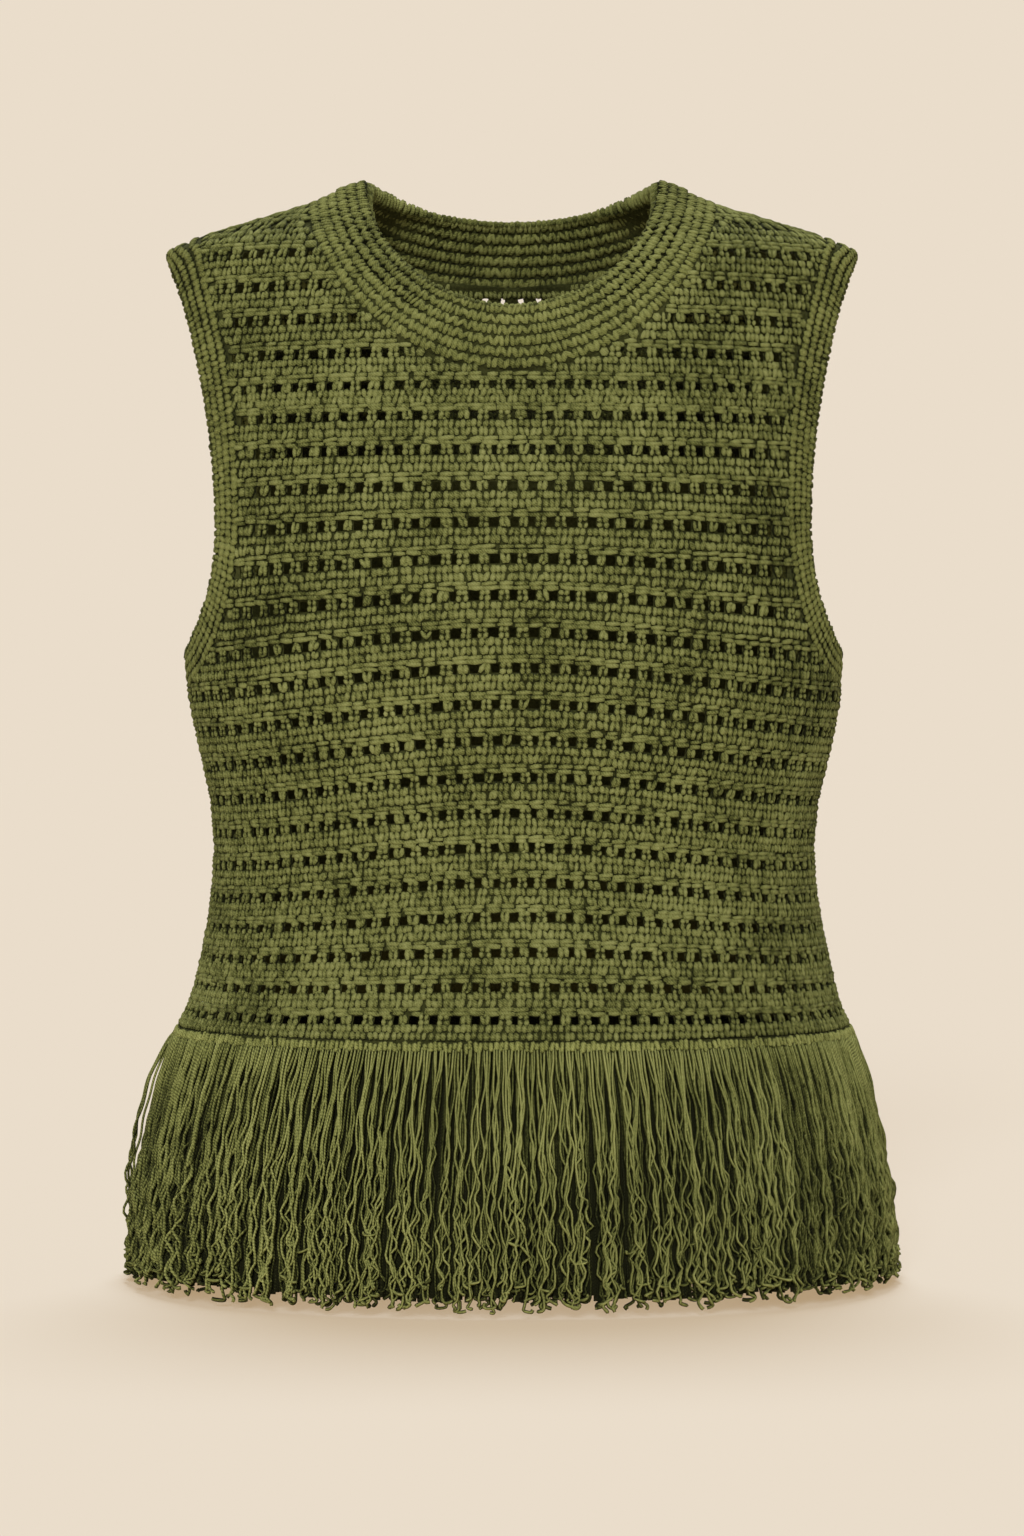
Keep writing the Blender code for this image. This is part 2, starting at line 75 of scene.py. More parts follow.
# Body sections: height, half width, front depth, back depth, and how far the middle stands to +X
SECTIONS = np.array([
    (-560, 200, 151, 146, 0.2),
    (-549, 199, 150, 145, 0.2),
    (-505, 196, 146, 140, 0.4),
    (-474, 189.8, 140, 133, 0.8),
    (-453, 185.4, 134, 127, 1),
    (-443, 182.2, 131, 124, 1),
    (-432, 178.4, 128, 121, 1),
    (-422, 174, 125, 118.5, 1),
    (-412, 169.4, 122, 116, 1.2),
    (-401, 166.2, 119.5, 113.5, 1.4),
    (-391, 164, 117.5, 111, 1.5),
    (-370, 159.6, 113, 106, 1.3),
    (-349, 156.9, 109, 101, 1),
    (-332, 156, 108, 98.5, 1),
    (-308, 158, 109, 98, 1.3),
    (-297, 160.5, 110.5, 98.5, 1.5),
    (-276, 165.4, 114, 101, 1.6),
    (-256, 169.2, 116.5, 103.5, 1.4),
    (-245, 170.4, 117.5, 104.5, 1),
    (-235, 170.8, 118, 105, 0.8),
    (-200, 172, 116, 104, 0.7),
    (-160, 174.5, 110, 99, 0.5),
    (-130, 176.5, 103, 93.5, 0.3),
    (-94, 178.5, 93, 85, 0.2),
    (-60, 179.3, 81, 75, 0),
    (-32, 179.7, 69, 66, 0),
    (-26, 179.6, 64, 62, 0),
    (-22.7, 178.3, 61, 59.5, 0),
    (-18.5, 169.5, 57, 55.5, 0),
    (-14.4, 159.5, 52.5, 51.5, 0),
    (2.2, 105, 36, 36, 0),
    (11, 79, 22, 22, 0),
])
SEC_Z, SEC_W, SEC_F, SEC_B, SEC_X = SECTIONS.T

# Eyelet rows from the top: height at the centre front, and how far the row hangs lower at the side
ROW_Z = np.array([
    -13, -30.1, -48, -66, -84.4, -101.4, -116.6, -134.2, -152.3, -170.4, -188.5, -206.6,
    -224.8, -242.4, -260, -277.7, -295.7, -313.1, -329.9, -346.9, -363.4, -380.3, -397.3, -412.8,
])
ROW_DIP = np.array([
    0, 0, 0, 0, 0, 0, 0, 0, 1, 2.6, 5, 7.4,
    10, 11, 11.5, 11.5, 10.7, 10, 9.5, 9, 7.5, 6, 3.5, 1.5,
])
ROWS = len(ROW_Z)

# Armhole: the panel's edge, and the band's outer edge beside it, both as seen from the front
ARMHOLE = np.array([
    (160.5, -14.8, 179.6, -26),
    (160.2, -15.6, 178.9, -28),
    (159.8, -17.5, 177.6, -31.5),
    (159.2, -21, 175.5, -36.5),
    (158.2, -28, 172.8, -43.5),
    (155.5, -41, 169.2, -53),
    (151, -58, 165.3, -66),
    (145.8, -79, 161, -83),
    (142.2, -100, 156.8, -103),
    (139.8, -120, 153.8, -121),
    (138.5, -140, 151.5, -140),
    (137.8, -160, 150.3, -159),
    (138.4, -178, 150.2, -176),
    (140.8, -194, 151.8, -191),
    (144.2, -209, 155, -204),
    (149.6, -225, 159.8, -216),
    (157.8, -240, 165.6, -226.5),
    (169, -251, 170.8, -232.5),
])

SIDES = ("front", "back")
SIGN = {"front": -1.0, "back": 1.0}
# Millimetres that a share of one, from the middle to a side seam, stands for
HALF_ARC = 230.0
# The surface tables: heights, and steps round from the middle to the seam
LEVEL_Z = np.linspace(SEC_Z[0], SEC_Z[-1], 801)
STEPS = 129


def build_grid(depth):
    """Tables of x and y over height and share of the way round, for one side."""
    a = np.linspace(0.0, math.pi / 2, 720)
    unit_x = np.sin(a) ** (2.0 / ROUNDNESS)
    unit_y = np.cos(a) ** (2.0 / ROUNDNESS)
    xs = np.zeros((len(LEVEL_Z), STEPS))
    ys = np.zeros((len(LEVEL_Z), STEPS))
    for i, z in enumerate(LEVEL_Z):
        x = unit_x * np.interp(z, SEC_Z, SEC_W)
        y = unit_y * np.interp(z, SEC_Z, depth)
        run = np.concatenate([[0.0], np.cumsum(np.hypot(np.diff(x), np.diff(y)))])
        share = np.linspace(0.0, run[-1], STEPS)
        xs[i] = np.interp(share, run, x)
        ys[i] = np.interp(share, run, y)
    return xs, ys


GRIDS = {"front": build_grid(SEC_F), "back": build_grid(SEC_B)}


def look_up(table, z, q):
    """Values between a table's entries."""
    i = np.clip((z - LEVEL_Z[0]) / (LEVEL_Z[1] - LEVEL_Z[0]), 0, len(LEVEL_Z) - 1.001)
    j = np.clip(np.abs(q) * (STEPS - 1), 0, STEPS - 1.0001)
    i0 = i.astype(int)
    j0 = j.astype(int)
    di = i - i0
    dj = j - j0
    low = table[i0, j0] * (1 - dj) + table[i0, j0 + 1] * dj
    high = table[i0 + 1, j0] * (1 - dj) + table[i0 + 1, j0 + 1] * dj
    return low * (1 - di) + high * di


def surface(side, z, q):
    """The outermost surface at height z and share q of the way round, -1 to 1."""
    xs, ys = GRIDS[side]
    x = look_up(xs, z, q) * np.sign(q) + np.interp(z, SEC_Z, SEC_X)
    return np.stack([x, look_up(ys, z, q) * SIGN[side], z], -1)


def unit(v):
    return v / np.maximum(np.linalg.norm(v, axis=-1, keepdims=True), 1e-9)


def normal(side, z, q):
    """Outward normals, with no front to back lean at the sides, so that the halves meet flush."""
    reach = np.abs(q)
    xs, ys = GRIDS[side]

    def flat(zz, qq):
        return np.stack([look_up(xs, zz, qq), -look_up(ys, zz, qq), zz], -1)

    around = flat(z, np.clip(reach + 0.008, 0.0, 1.0)) - flat(z, np.clip(reach - 0.008, 0.0, 1.0))
    up = flat(np.minimum(z + 2.0, SEC_Z[-1]), reach) - flat(z - 2.0, reach)
    n = unit(np.cross(around, up))
    n[..., 1] = np.where(reach > 0.999, 0.0, n[..., 1])
    n[..., 0] = np.where(reach < 0.001, 0.0, n[..., 0])
    n = unit(n)
    n[..., 0] *= np.where(q < 0, -1.0, 1.0)
    if side == "back":
        n[..., 1] *= -1.0
    return n


def axes(side, z, q):
    """Surface point, outward normal, and the directions along a course and up across it."""
    point = surface(side, z, q)
    out = normal(side, z, q)
    step = 0.004
    along = surface(side, z, np.clip(q + step, -1, 1)) - surface(side, z, np.clip(q - step, -1, 1))
    along = unit(along - out * np.sum(along * out, -1, keepdims=True))
    up = np.cross(out, along)
    up *= np.where(up[..., 2:] < 0, -1.0, 1.0)
    return point, out, along, up


def share_at(side, x, z):
    """How far round the section a front-view point lies."""
    shares = np.linspace(0.0, 1.0, 513)
    reach = look_up(GRIDS[side][0], z, shares)
    return math.copysign(float(np.interp(abs(x), reach, shares)), x)


def smooth(t):
    t = np.clip(t, 0.0, 1.0)
    return t * t * (3.0 - 2.0 * t)


def row_height(side, level, q):
    """Height of a course: level counts eyelet rows from the top, parts of one lie between rows."""
    counts = np.arange(ROWS)
    z = np.interp(level, counts, ROW_Z)
    z = z + np.clip(level - counts[-1], 0.0, None) * (ROW_Z[-1] - ROW_Z[-2])
    z = z + np.clip(-level, 0.0, None) * (ROW_Z[0] - ROW_Z[1])
    dip = np.interp(level, counts, ROW_DIP) * 1.1 * smooth(np.abs(q) / 0.8)
    # From the armholes up the back's courses sink by up to 9.4 mm
    lower = 0.0 if side == "front" else 9.4 * smooth((z + 232.0) / 147.0)
    return z - dip - lower


# Panel edges in the plane of share and height
def neck_curve(side):
    a = np.linspace(0.0, math.pi / 2, 61)
    x = NECK_SIDE_X * np.sin(a)
    z = NECK_SIDE_Z - NECK_OUT[side] * np.clip(np.cos(a), 0, 1) ** NECK_POWER
    q = np.array([share_at(side, *place) for place in zip(x, z)])
    q[-1] = 1.0
    return q, z


def arm_curve(side):
    q = np.array([share_at(side, *place) for place in ARMHOLE[:, :2]])
    q[[0, -1]] = 1.0
    return q, ARMHOLE[:, 1]


NECK = {side: neck_curve(side) for side in SIDES}
ARM = {side: arm_curve(side) for side in SIDES}


def neck_share(side, z, spare=0.0):
    """How far round the neck's edge lies at height z, or spare below it."""
    q, heights = NECK[side]
    return np.interp(z - spare, heights, q, left=0.0, right=1.0)


def arm_share(side, z, spare=0.0):
    """How far round the armhole's edge lies at height z, or spare further out."""
    q, heights = ARM[side]
    reach = np.interp(z, heights[::-1], q[::-1], left=1.0, right=1.0)
    return np.clip(reach + spare / HALF_ARC, 0.0, 1.0)


def edge_distance(side, z, q):
    """Millimetres from the neck, armhole or shoulder edge of a panel, below 0 outside it."""
    reach = np.abs(q)
    ridge = (np.ones(12), np.linspace(RIDGE_Z, NECK_SIDE_Z, 12))
    best = np.full(np.shape(z), 1e3)
    for line_q, line_z in (NECK[side], ARM[side], ridge):
        for i in range(len(line_q) - 1):
            ax = (line_q[i] - reach) * HALF_ARC
            az = line_z[i] - z
            dx = (line_q[i + 1] - line_q[i]) * HALF_ARC
            dz = line_z[i + 1] - line_z[i]
            t = np.clip(-(ax * dx + az * dz) / max(dx * dx + dz * dz, 1e-9), 0.0, 1.0)
            best = np.minimum(best, np.hypot(ax + t * dx, az + t * dz))
    inside = (reach <= arm_share(side, z)) & (reach >= neck_share(side, z)) & (z < NECK_SIDE_Z)
    return np.where(inside, best, -best)


# Meshes
def add_object(name, data):
    made = bpy.data.objects.new(name, data)
    bpy.context.scene.collection.objects.link(made)
    return made


def make_object(name, verts, quads, tris, material, tone, lay, rise):
    """A mesh object in metres, with the three values at each point that the yarn materials read."""
    mesh = bpy.data.meshes.new(name)
    mesh.vertices.add(len(verts))
    mesh.vertices.foreach_set("co", (verts * 0.001).astype(np.float32).ravel())
    loops = np.concatenate([np.ravel(quads), np.ravel(tris)]).astype(np.int32)
    starts = np.concatenate([np.arange(len(quads)) * 4, len(quads) * 4 + np.arange(len(tris)) * 3])
    mesh.loops.add(len(loops))
    mesh.loops.foreach_set("vertex_index", loops)
    mesh.polygons.add(len(starts))
    mesh.polygons.foreach_set("loop_start", starts.astype(np.int32))
    mesh.update(calc_edges=True)
    mesh.shade_smooth()
    # rise is the painted shade and light at each point; tone is a stitch's own random tone
    for key, kind, field, values in (("tone", "FLOAT", "value", tone), ("rise", "FLOAT", "value", rise),
                                     ("lay", "FLOAT_VECTOR", "vector", lay)):
        data = mesh.attributes.new(key, kind, "POINT").data
        data.foreach_set(field, values.astype(np.float32).ravel())
    mesh.materials.append(material)
    return add_object(name, mesh)


class Batch:
    """Many small closed or domed shapes that become one mesh."""

    def __init__(self):
        self.parts = []
        self.count = 0

    def add(self, verts, quads, tris, tone, lay, rise):
        """verts is (shapes, points, 3); quads and tris index one shape's points."""
        shapes, points = verts.shape[:2]
        first = self.count + np.arange(shapes)[:, None, None] * points
        self.parts.append((
            verts.reshape(-1, 3),
            (first + np.reshape(quads, (1, -1, 4))).reshape(-1, 4),
            (first + np.reshape(tris, (1, -1, 3))).reshape(-1, 3),
            np.repeat(tone, points),
            lay.reshape(-1, 3),
            np.ravel(rise),
        ))
        self.count += shapes * points

    def place(self, local, where, lean, quads, tris, rise):
        """Adds shapes given in their own directions: along a course, up across it, and out."""
        base, out, along, up = where
        tone = rng.uniform(-1, 1, len(base))
        c = np.cos(lean)[:, None]
        s = np.sin(lean)[:, None]
        u_dir = along * c + up * s
        v_dir = up * c - along * s
        verts = base[:, None, :] + local[:, :, 0:1] * u_dir[:, None, :] \
            + local[:, :, 1:2] * v_dir[:, None, :] + local[:, :, 2:3] * out[:, None, :]
        lay = local.copy()
        lay[:, :, 2] += (tone * 37.0 % 11.0)[:, None]
        self.add(verts, quads, tris, tone, lay, rise)

    def make(self, name, material):
        verts, quads, tris, tone, lay, rise = (np.concatenate(x) for x in zip(*self.parts))
        return make_object(name, verts, quads, tris, material, tone, lay, rise)


def ring_quads(low, high):
    """Faces between two rings of six points."""
    return [(low + i, low + (i + 1) % 6, high + (i + 1) % 6, high + i) for i in range(6)]


# Each stitch's points: faces, and how much lighter or darker than the yarn each point is painted. A dome's
# base ring carries painted shade for the creases between stitches, and its crown a little painted light
DOME_QUADS = ring_quads(0, 6)
DOME_TRIS = [(6 + i, 6 + (i + 1) % 6, 12) for i in range(6)]
DOME_RISE = np.concatenate([np.full(6, -0.8), np.full(6, -0.04), [0.12]])
BEAD_QUADS = ring_quads(1, 7)
BEAD_TRIS = [(0, 1 + (i + 1) % 6, 1 + i) for i in range(6)] + [(13, 7 + i, 7 + (i + 1) % 6) for i in range(6)]
# Painted shade on the beads: their inward half and their ends are darker than their outward side, which has a
# little painted light
BEAD_RING = [0.1, -0.08, -0.6, -0.6, -0.6, -0.08]
BEAD_RISE = np.array([-0.45, *BEAD_RING, *BEAD_RING, -0.45])


def domes(batch, where, half_u, half_v, tall, lean, blunt=False, dusk=1.0, dim=0.0):
    """Stitches as rounded domes: a ring in the backing, a higher ring and a crown. Blunt ends are flatter."""
    count = len(tall)
    a = (np.arange(6) + (0.5 if blunt else 0.0)) * math.pi / 3
    grow_u, bulge = (1.15, 0.7) if blunt else (1.0, 1.0)
    spread_v = np.sign(np.sin(a)) * np.abs(np.sin(a)) ** bulge
    local = np.zeros((count, 13, 3))
    for first, radius, height in ((0, 1.0, 0.0), (6, 0.86, 0.74)):
        ring = local[:, first:first + 6]
        ring[:, :, 0] = np.cos(a) * radius * grow_u * half_u[:, None]
        ring[:, :, 1] = spread_v * radius * 1.1 * half_v[:, None]
        ring[:, :, 2] = height * tall[:, None]
    local[:, 12, 2] = tall
    # Painted shade: the creases at each dome's base are darker, scaled by dusk, and the whole stitch is
    # shifted by dim
    rise = DOME_RISE[None, :] * dusk + np.broadcast_to(dim, (count,))[:, None]
    batch.place(local, where, lean, DOME_QUADS, DOME_TRIS, rise)


def beads(batch, where, half_u, half_v, half_n, lean):
    """Closed strands, longest across the course."""
    a = np.arange(6) * math.pi / 3
    local = np.zeros((len(lean), 14, 3))
    local[:, 0, 1] = -half_v
    local[:, 13, 1] = half_v
    for first, share in ((1, -0.6), (7, 0.6)):
        ring = local[:, first:first + 6]
        ring[:, :, 0] = np.sin(a) * half_u[:, None]
        ring[:, :, 1] = share * half_v[:, None]
        ring[:, :, 2] = np.cos(a) * half_n[:, None]
    batch.place(local, where, lean, BEAD_QUADS, BEAD_TRIS, np.tile(BEAD_RISE, len(lean)))


def wall(name, outer, inner, faces, flip, material, lay):
    """A closed sheet from faces on an outer layer of points, with an inner layer and edges all round."""
    count = len(outer)
    if flip:
        faces = [tuple(reversed(f)) for f in faces]
    quads = [f for f in faces if len(f) == 4]
    tris = [f for f in faces if len(f) == 3]
    all_quads = quads + [tuple(count + i for i in reversed(f)) for f in quads]
    all_tris = tris + [tuple(count + i for i in reversed(f)) for f in tris]
    edges = set()
    for f in faces:
        for i in range(len(f)):
            edges.add((f[i], f[(i + 1) % len(f)]))
    for a, b in edges:
        if (b, a) not in edges:
            all_quads.append((b, a, a + count, b + count))
    verts = np.concatenate([outer, inner])
    used = np.unique(np.concatenate([np.ravel(all_quads), np.ravel(all_tris)]).astype(int))
    new = np.zeros(len(verts), int)
    new[used] = np.arange(len(used))
    quads_out = new[np.array(all_quads, int)]
    tris_out = new[np.array(all_tris, int).reshape(-1, 3)]
    lay = np.concatenate([lay, lay])[used]
    plain = np.zeros(len(used))
    return make_object(name, verts[used], quads_out, tris_out, material, plain, lay, plain)


# Materials
def fill(node, inputs):
    """Sets a node's inputs, and links those that are given as sockets."""
    for key, value in inputs.items():
        if isinstance(value, bpy.types.NodeSocket):
            node.id_data.links.new(value, node.inputs[key])
        else:
            node.inputs[key].default_value = value
    return node


def add_node(tree, kind, inputs, **settings):
    made = tree.nodes.new(kind)
    for key, value in settings.items():
        setattr(made, key, value)
    return fill(made, inputs)


def yarn(name, dark, mid, pale, ply=1.0, cells=0.0):
    """Matt spun yarn: tone from stitch to stitch, fine fibres, painted shade and light from each point's
    rise, and the twist of the plies in its bump.
    """
    material = bpy.data.materials.new(name)
    material.use_nodes = True
    tree = material.node_tree

    def texture(kind, output, inputs, **settings):
        return add_node(tree, kind, inputs, **settings).outputs[output]

    def stored(key, output):
        return texture("ShaderNodeAttribute", output, {}, attribute_name=key)

    def noise(scale, detail):
        return texture("ShaderNodeTexNoise", "Fac", {"Vector": place, "Scale": scale, "Detail": detail})

    def calculate(operation, a, b):
        return texture("ShaderNodeMath", 0, {0: a, 1: b}, operation=operation)

    def add_up(*weighted):
        total = None
        for socket, weight in weighted:
            part = calculate("MULTIPLY", socket, weight)
            total = part if total is None else calculate("ADD", total, part)
        return total

    place = texture("ShaderNodeTexCoord", "Object", {})
    lay = stored("lay", "Vector")
    tone = stored("tone", "Fac")
    blotch = noise(26.0, 3.0)
    fleck = noise(1900.0, 2.0)
    fibre = noise(620.0, 4.0)
    plies = {"Vector": lay, "Scale": 0.42, "Distortion": 0.8, "Detail": 1.0}
    twist = texture("ShaderNodeTexWave", "Fac", plies, wave_type="BANDS", bands_direction="DIAGONAL")
    share = add_up((tone, 0.09), (blotch, 0.45), (fibre, 0.5), (fleck, 0.35), (twist, 0.12 * ply))
    # Adds rise: painted shade in creases, on hidden sides and on deeper strands, and a little painted light
    # on crowns
    share = calculate("SUBTRACT", calculate("ADD", share, stored("rise", "Fac")), 0.21)
    ramp = add_node(tree, "ShaderNodeValToRGB", {"Fac": share})
    stops = ramp.color_ramp.elements
    # The darkest stop, near black, is reached mostly through rise: painted shade in the deepest creases
    stops[0].position = 0.04
    stops[0].color = (*[c * 0.12 for c in dark], 1.0)
    stops[1].position = 0.85
    stops[1].color = (*pale, 1.0)
    for position, color in ((0.27, dark), (0.5, mid)):
        stops.new(position).color = (*color, 1.0)
    relief = [(twist, 0.55 * ply), (fibre, 0.5), (fleck, 0.35)]
    if cells:
        pits = {"Vector": lay, "Scale": 0.26, "Randomness": 0.35}
        relief.append((texture("ShaderNodeTexVoronoi", "Distance", pits, feature="F1"), -cells))
    bump = {"Strength": 0.9, "Distance": 0.00045, "Height": add_up(*relief)}
    fill(tree.nodes["Principled BSDF"], {
        "Base Color": ramp.outputs["Color"], "Normal": texture("ShaderNodeBump", "Normal", bump),
        "Roughness": 0.92, "Specular IOR Level": 0.1, "Sheen Weight": 0.08, "Sheen Roughness": 0.55,
        "Sheen Tint": (0.6, 0.66, 0.28, 1.0)})
    return material


BODY = yarn("body_yarn_knit", (0.06, 0.066, 0.015), (0.2, 0.212, 0.065), (0.342, 0.354, 0.136))
BAND = yarn("band_yarn_knit", (0.055, 0.06, 0.014), (0.18, 0.191, 0.054), (0.31, 0.32, 0.11))
LOOSE = yarn("fringe_yarn_loose", (0.06, 0.066, 0.015), (0.22, 0.233, 0.066), (0.42, 0.434, 0.15), ply=1.3)
# The backing's colours are far darker than the yarn's: painted shade for the creases between stitches, the
# eyelets and the inside
BACKING_PAINTED_SHADE = ((0.016, 0.018, 0.004), (0.046, 0.049, 0.013), (0.09, 0.094, 0.03))
BACKING = yarn("body_yarn_backing_painted_shade", *BACKING_PAINTED_SHADE, 0.3, 2.0)
BAND_BACKING = yarn("band_yarn_backing_painted_shade", *BACKING_PAINTED_SHADE, 0.3, 2.0)

rng = np.random.default_rng(4107)


def spread(mean, share, count):
    """Random sizes round a mean."""
    return mean * (1.0 + share * np.clip(rng.normal(0.0, 1.0, count), -2.0, 2.0))


# Half an eyelet's height in rows, and how far inside the panel's edge its middle has to be
HOLE_HALF = 0.135
HOLE_SPARE = 4.2
# Two more courses lie above the first eyelet row
FIRST_ROW = -2
# Posts in a row, the back's usual distance between them, and stitches and chain links in a course
POSTS = {"front": 48, "back": 46}
BACK_PITCH = 2.0 / 42
STITCHES = 158
LINKS = 62
# Depths of the backing's two faces, and how far its edge goes past the panel's at neck and armhole
SHEET_DEEP = 2.1
WALL_DEEP = 3.5
EDGE_SPARE = 1.5
# The inside shows, and has stitches, down to this height and this far round
INSIDE_Z = -132.0
INSIDE_Q = 0.62


def front_marks():
    """Centre and half width of every post, in share of the way round, row by row."""
    posts = POSTS["front"]
    pitch = 2.0 / posts
    centre = -1.0 + (np.arange(posts) + 0.5) * pitch
    shift = rng.uniform(-0.1, 0.1, (ROWS, posts)) * pitch
    wide = rng.uniform(0.25, 0.34, (ROWS, posts)) * pitch
    return centre[None, :] + shift, wide


MARKS = {"front": front_marks()}


def gaps(side, row):
    """The gaps between posts, from seam to seam: their middles, which are eyelets, and which are filled."""
    centre, wide = MARKS[side]
    right = np.append(centre[row] - wide[row], 1.0)
    left = np.insert(centre[row] + wide[row], 0, -1.0)
    mid = (right + left) / 2
    z = row_height(side, row, mid)
    wide_enough = right - left > 1.0 / HALF_ARC
    clear = edge_distance(side, z, mid) > HOLE_SPARE
    return mid, clear & wide_enough, ~clear & wide_enough


def seen_behind(q, z):
    """Where the sight line through a point of the front meets the back."""
    near = surface("front", z, q)
    y = 100.0
    for _ in range(6):
        grow = (y - CAMERA[1]) / (near[1] - CAMERA[1])
        x = CAMERA[0] + (near[0] - CAMERA[0]) * grow
        height = CAMERA[2] + (near[2] - CAMERA[2]) * grow
        if height > NECK_SIDE_Z:
            return None
        share = share_at("back", x - float(np.interp(height, SEC_Z, SEC_X)), height)
        y = float(surface("back", height, share)[1])
    return share, height


def back_marks():
    """The back's posts: each stands behind an eyelet of the front where their rows line up."""
    posts = POSTS["back"]
    pitch = BACK_PITCH
    wanted = [[] for _ in range(ROWS)]
    for row in range(ROWS):
        mid = gaps("front", row)[0]
        heights = row_height("front", row, mid)
        facing = normal("front", heights, mid)[:, 1] < -0.12
        for q, z in zip(mid[facing], heights[facing]):
            met = seen_behind(q, z)
            if met is None:
                continue
            share, height = met
            rows_z = row_height("back", np.arange(ROWS), share)
            nearest = int(np.abs(rows_z - height).argmin())
            miss = abs(rows_z[nearest] - height)
            if nearest > 0 and miss < 6.5 and abs(share) < 1.0 - 0.3 * pitch:
                wanted[nearest].append((miss, share))
    centre = np.zeros((ROWS, posts))
    wide = np.zeros((ROWS, posts))
    for row in range(ROWS):
        kept = []
        for miss, share in sorted(wanted[row]):
            if all(abs(share - other) > 0.66 * pitch for other in kept):
                kept.append(share)
        stops = [-1.0 - 0.5 * pitch] + sorted(kept) + [1.0 + 0.5 * pitch]
        full = []
        for low, high in zip(stops, stops[1:]):
            extra = max(int(round((high - low) / pitch)) - 1, 0)
            full += [low + (high - low) * (i + 1) / (extra + 1) for i in range(extra)]
            full.append(high)
        full = np.array(full[:-1][:posts])
        room = np.minimum(np.diff(full, prepend=-1 - 0.5 * pitch), np.diff(full, append=1 + 0.5 * pitch))
        half = np.minimum(rng.uniform(0.33, 0.38, len(full)) * pitch, 0.42 * room)
        left_pad = (posts - len(full)) // 2
        centre[row] = 1.0
        centre[row, :left_pad] = -1.0
        centre[row, left_pad:left_pad + len(full)] = full
        wide[row, left_pad:left_pad + len(full)] = half
    return centre, wide


MARKS["back"] = back_marks()


def close_seams(side, q, layers):
    """Brings each layer's ends to the side seams, half a seam's width from the other half."""
    for layer in layers:
        layer[:, 1] = np.where(np.abs(q) > 0.9999, SIGN[side] * SEAM / 2, layer[:, 1])


def panel_sheet(side):
    """The panel's backing with its eyelets, closed all round."""
    def both_edges(centre, half):
        return np.sort(np.concatenate([[-1.0, 1.0], centre - half, centre + half]))

    plain = both_edges(-1.0 + (np.arange(POSTS[side]) + 0.5) * 2 / POSTS[side], 0.3 * 2 / POSTS[side])
    bottom = NECK_SIDE_Z - NECK_OUT[side] + EDGE_SPARE
    # Levels from the top, each with its eyelet row if it is that row's upper or lower edge
    levels = []
    for row in range(FIRST_ROW, ROWS):
        for part in (-HOLE_HALF, HOLE_HALF, 0.37, 0.62):
            levels.append((row + part, row if abs(part) < 0.2 and row >= 0 else None))
    # The nearest free level goes through the lowest point of the neck
    heights = np.array([row_height(side, level, 0.0) for level, _ in levels])
    free = [i for i, (_, row) in enumerate(levels) if row is None]
    near = min(free, key=lambda i: abs(heights[i] - bottom))
    levels[near] = (np.interp(-bottom, -heights, [level for level, _ in levels]), None)
    rows = []
    for level, row in levels:
        q = plain if row is None else both_edges(*(mark[row] for mark in MARKS[side]))
        z = row_height(side, level, q)
        for _ in range(8):
            low = neck_share(side, z, EDGE_SPARE)
            high = np.maximum(arm_share(side, z, EDGE_SPARE), low)
            clamped = np.sign(q) * np.clip(np.abs(q), low, high)
            z = row_height(side, level, clamped)
        if np.ptp(np.abs(clamped)) > 1e-6:
            rows.append((row, clamped, np.minimum(z, NECK_SIDE_Z)))
    last = rows[-1][1]
    rows.append((None, last, np.full(len(last), HEM_Z + SEAM / 2)))
    # Each row's points, and how much thinner the backing is there
    ids = []
    parts = []
    total = 0
    for row, q, z in rows:
        found, first, index = np.unique(np.round(q, 7), return_index=True, return_inverse=True)
        ids.append(total + index)
        parts.append((found, z[first], np.full(len(found), 0.0 if row is None else 0.3)))
        total += len(found)
    faces = []
    columns = len(plain)
    middle = columns // 2 - 1
    for r in range(len(rows) - 1):
        top = ids[r]
        low = ids[r + 1]
        row = rows[r][0]
        holes = gaps(side, row)[1] if row is not None and row == rows[r + 1][0] else None
        necked = neck_share(side, rows[r][2][middle], EDGE_SPARE) > 1e-6
        for k in range(columns - 1):
            if k == middle and necked:
                continue
            if holes is not None and k % 2 == 0 and holes[k // 2]:
                continue
            ring = [low[k], low[k + 1], top[k + 1], top[k]]
            ring = [v for i, v in enumerate(ring) if v != ring[i - 1]]
            if len(ring) >= 3:
                faces.append(tuple(ring))
    q, z, thin = (np.concatenate(p) for p in zip(*parts))
    point = surface(side, z, q)
    out = normal(side, z, q)
    outer = point - out * (SHEET_DEEP + thin)[:, None]
    inner = point - out * (WALL_DEEP - thin)[:, None]
    close_seams(side, q, (outer, inner))
    lay = np.stack([q * HALF_ARC, z, np.zeros(len(q))], -1)
    return wall(f"{side}_panel_knit", outer, inner, faces, side == "back", BACKING, lay)


def side_painted_shade(q):
    """Painted shade: how much darker the yarn is drawn towards the sides, where less light falls, on top of a
    small darkening all over.
    """
    return -0.045 - 0.065 * smooth((np.abs(q) - 0.2) / 0.5)


def stretch(up):
    """How much longer a stitch is across its course where the cloth lies flat on the shoulder."""
    return np.clip(1.0 / np.maximum(up[:, 2], 0.05), 1.0, 2.8)


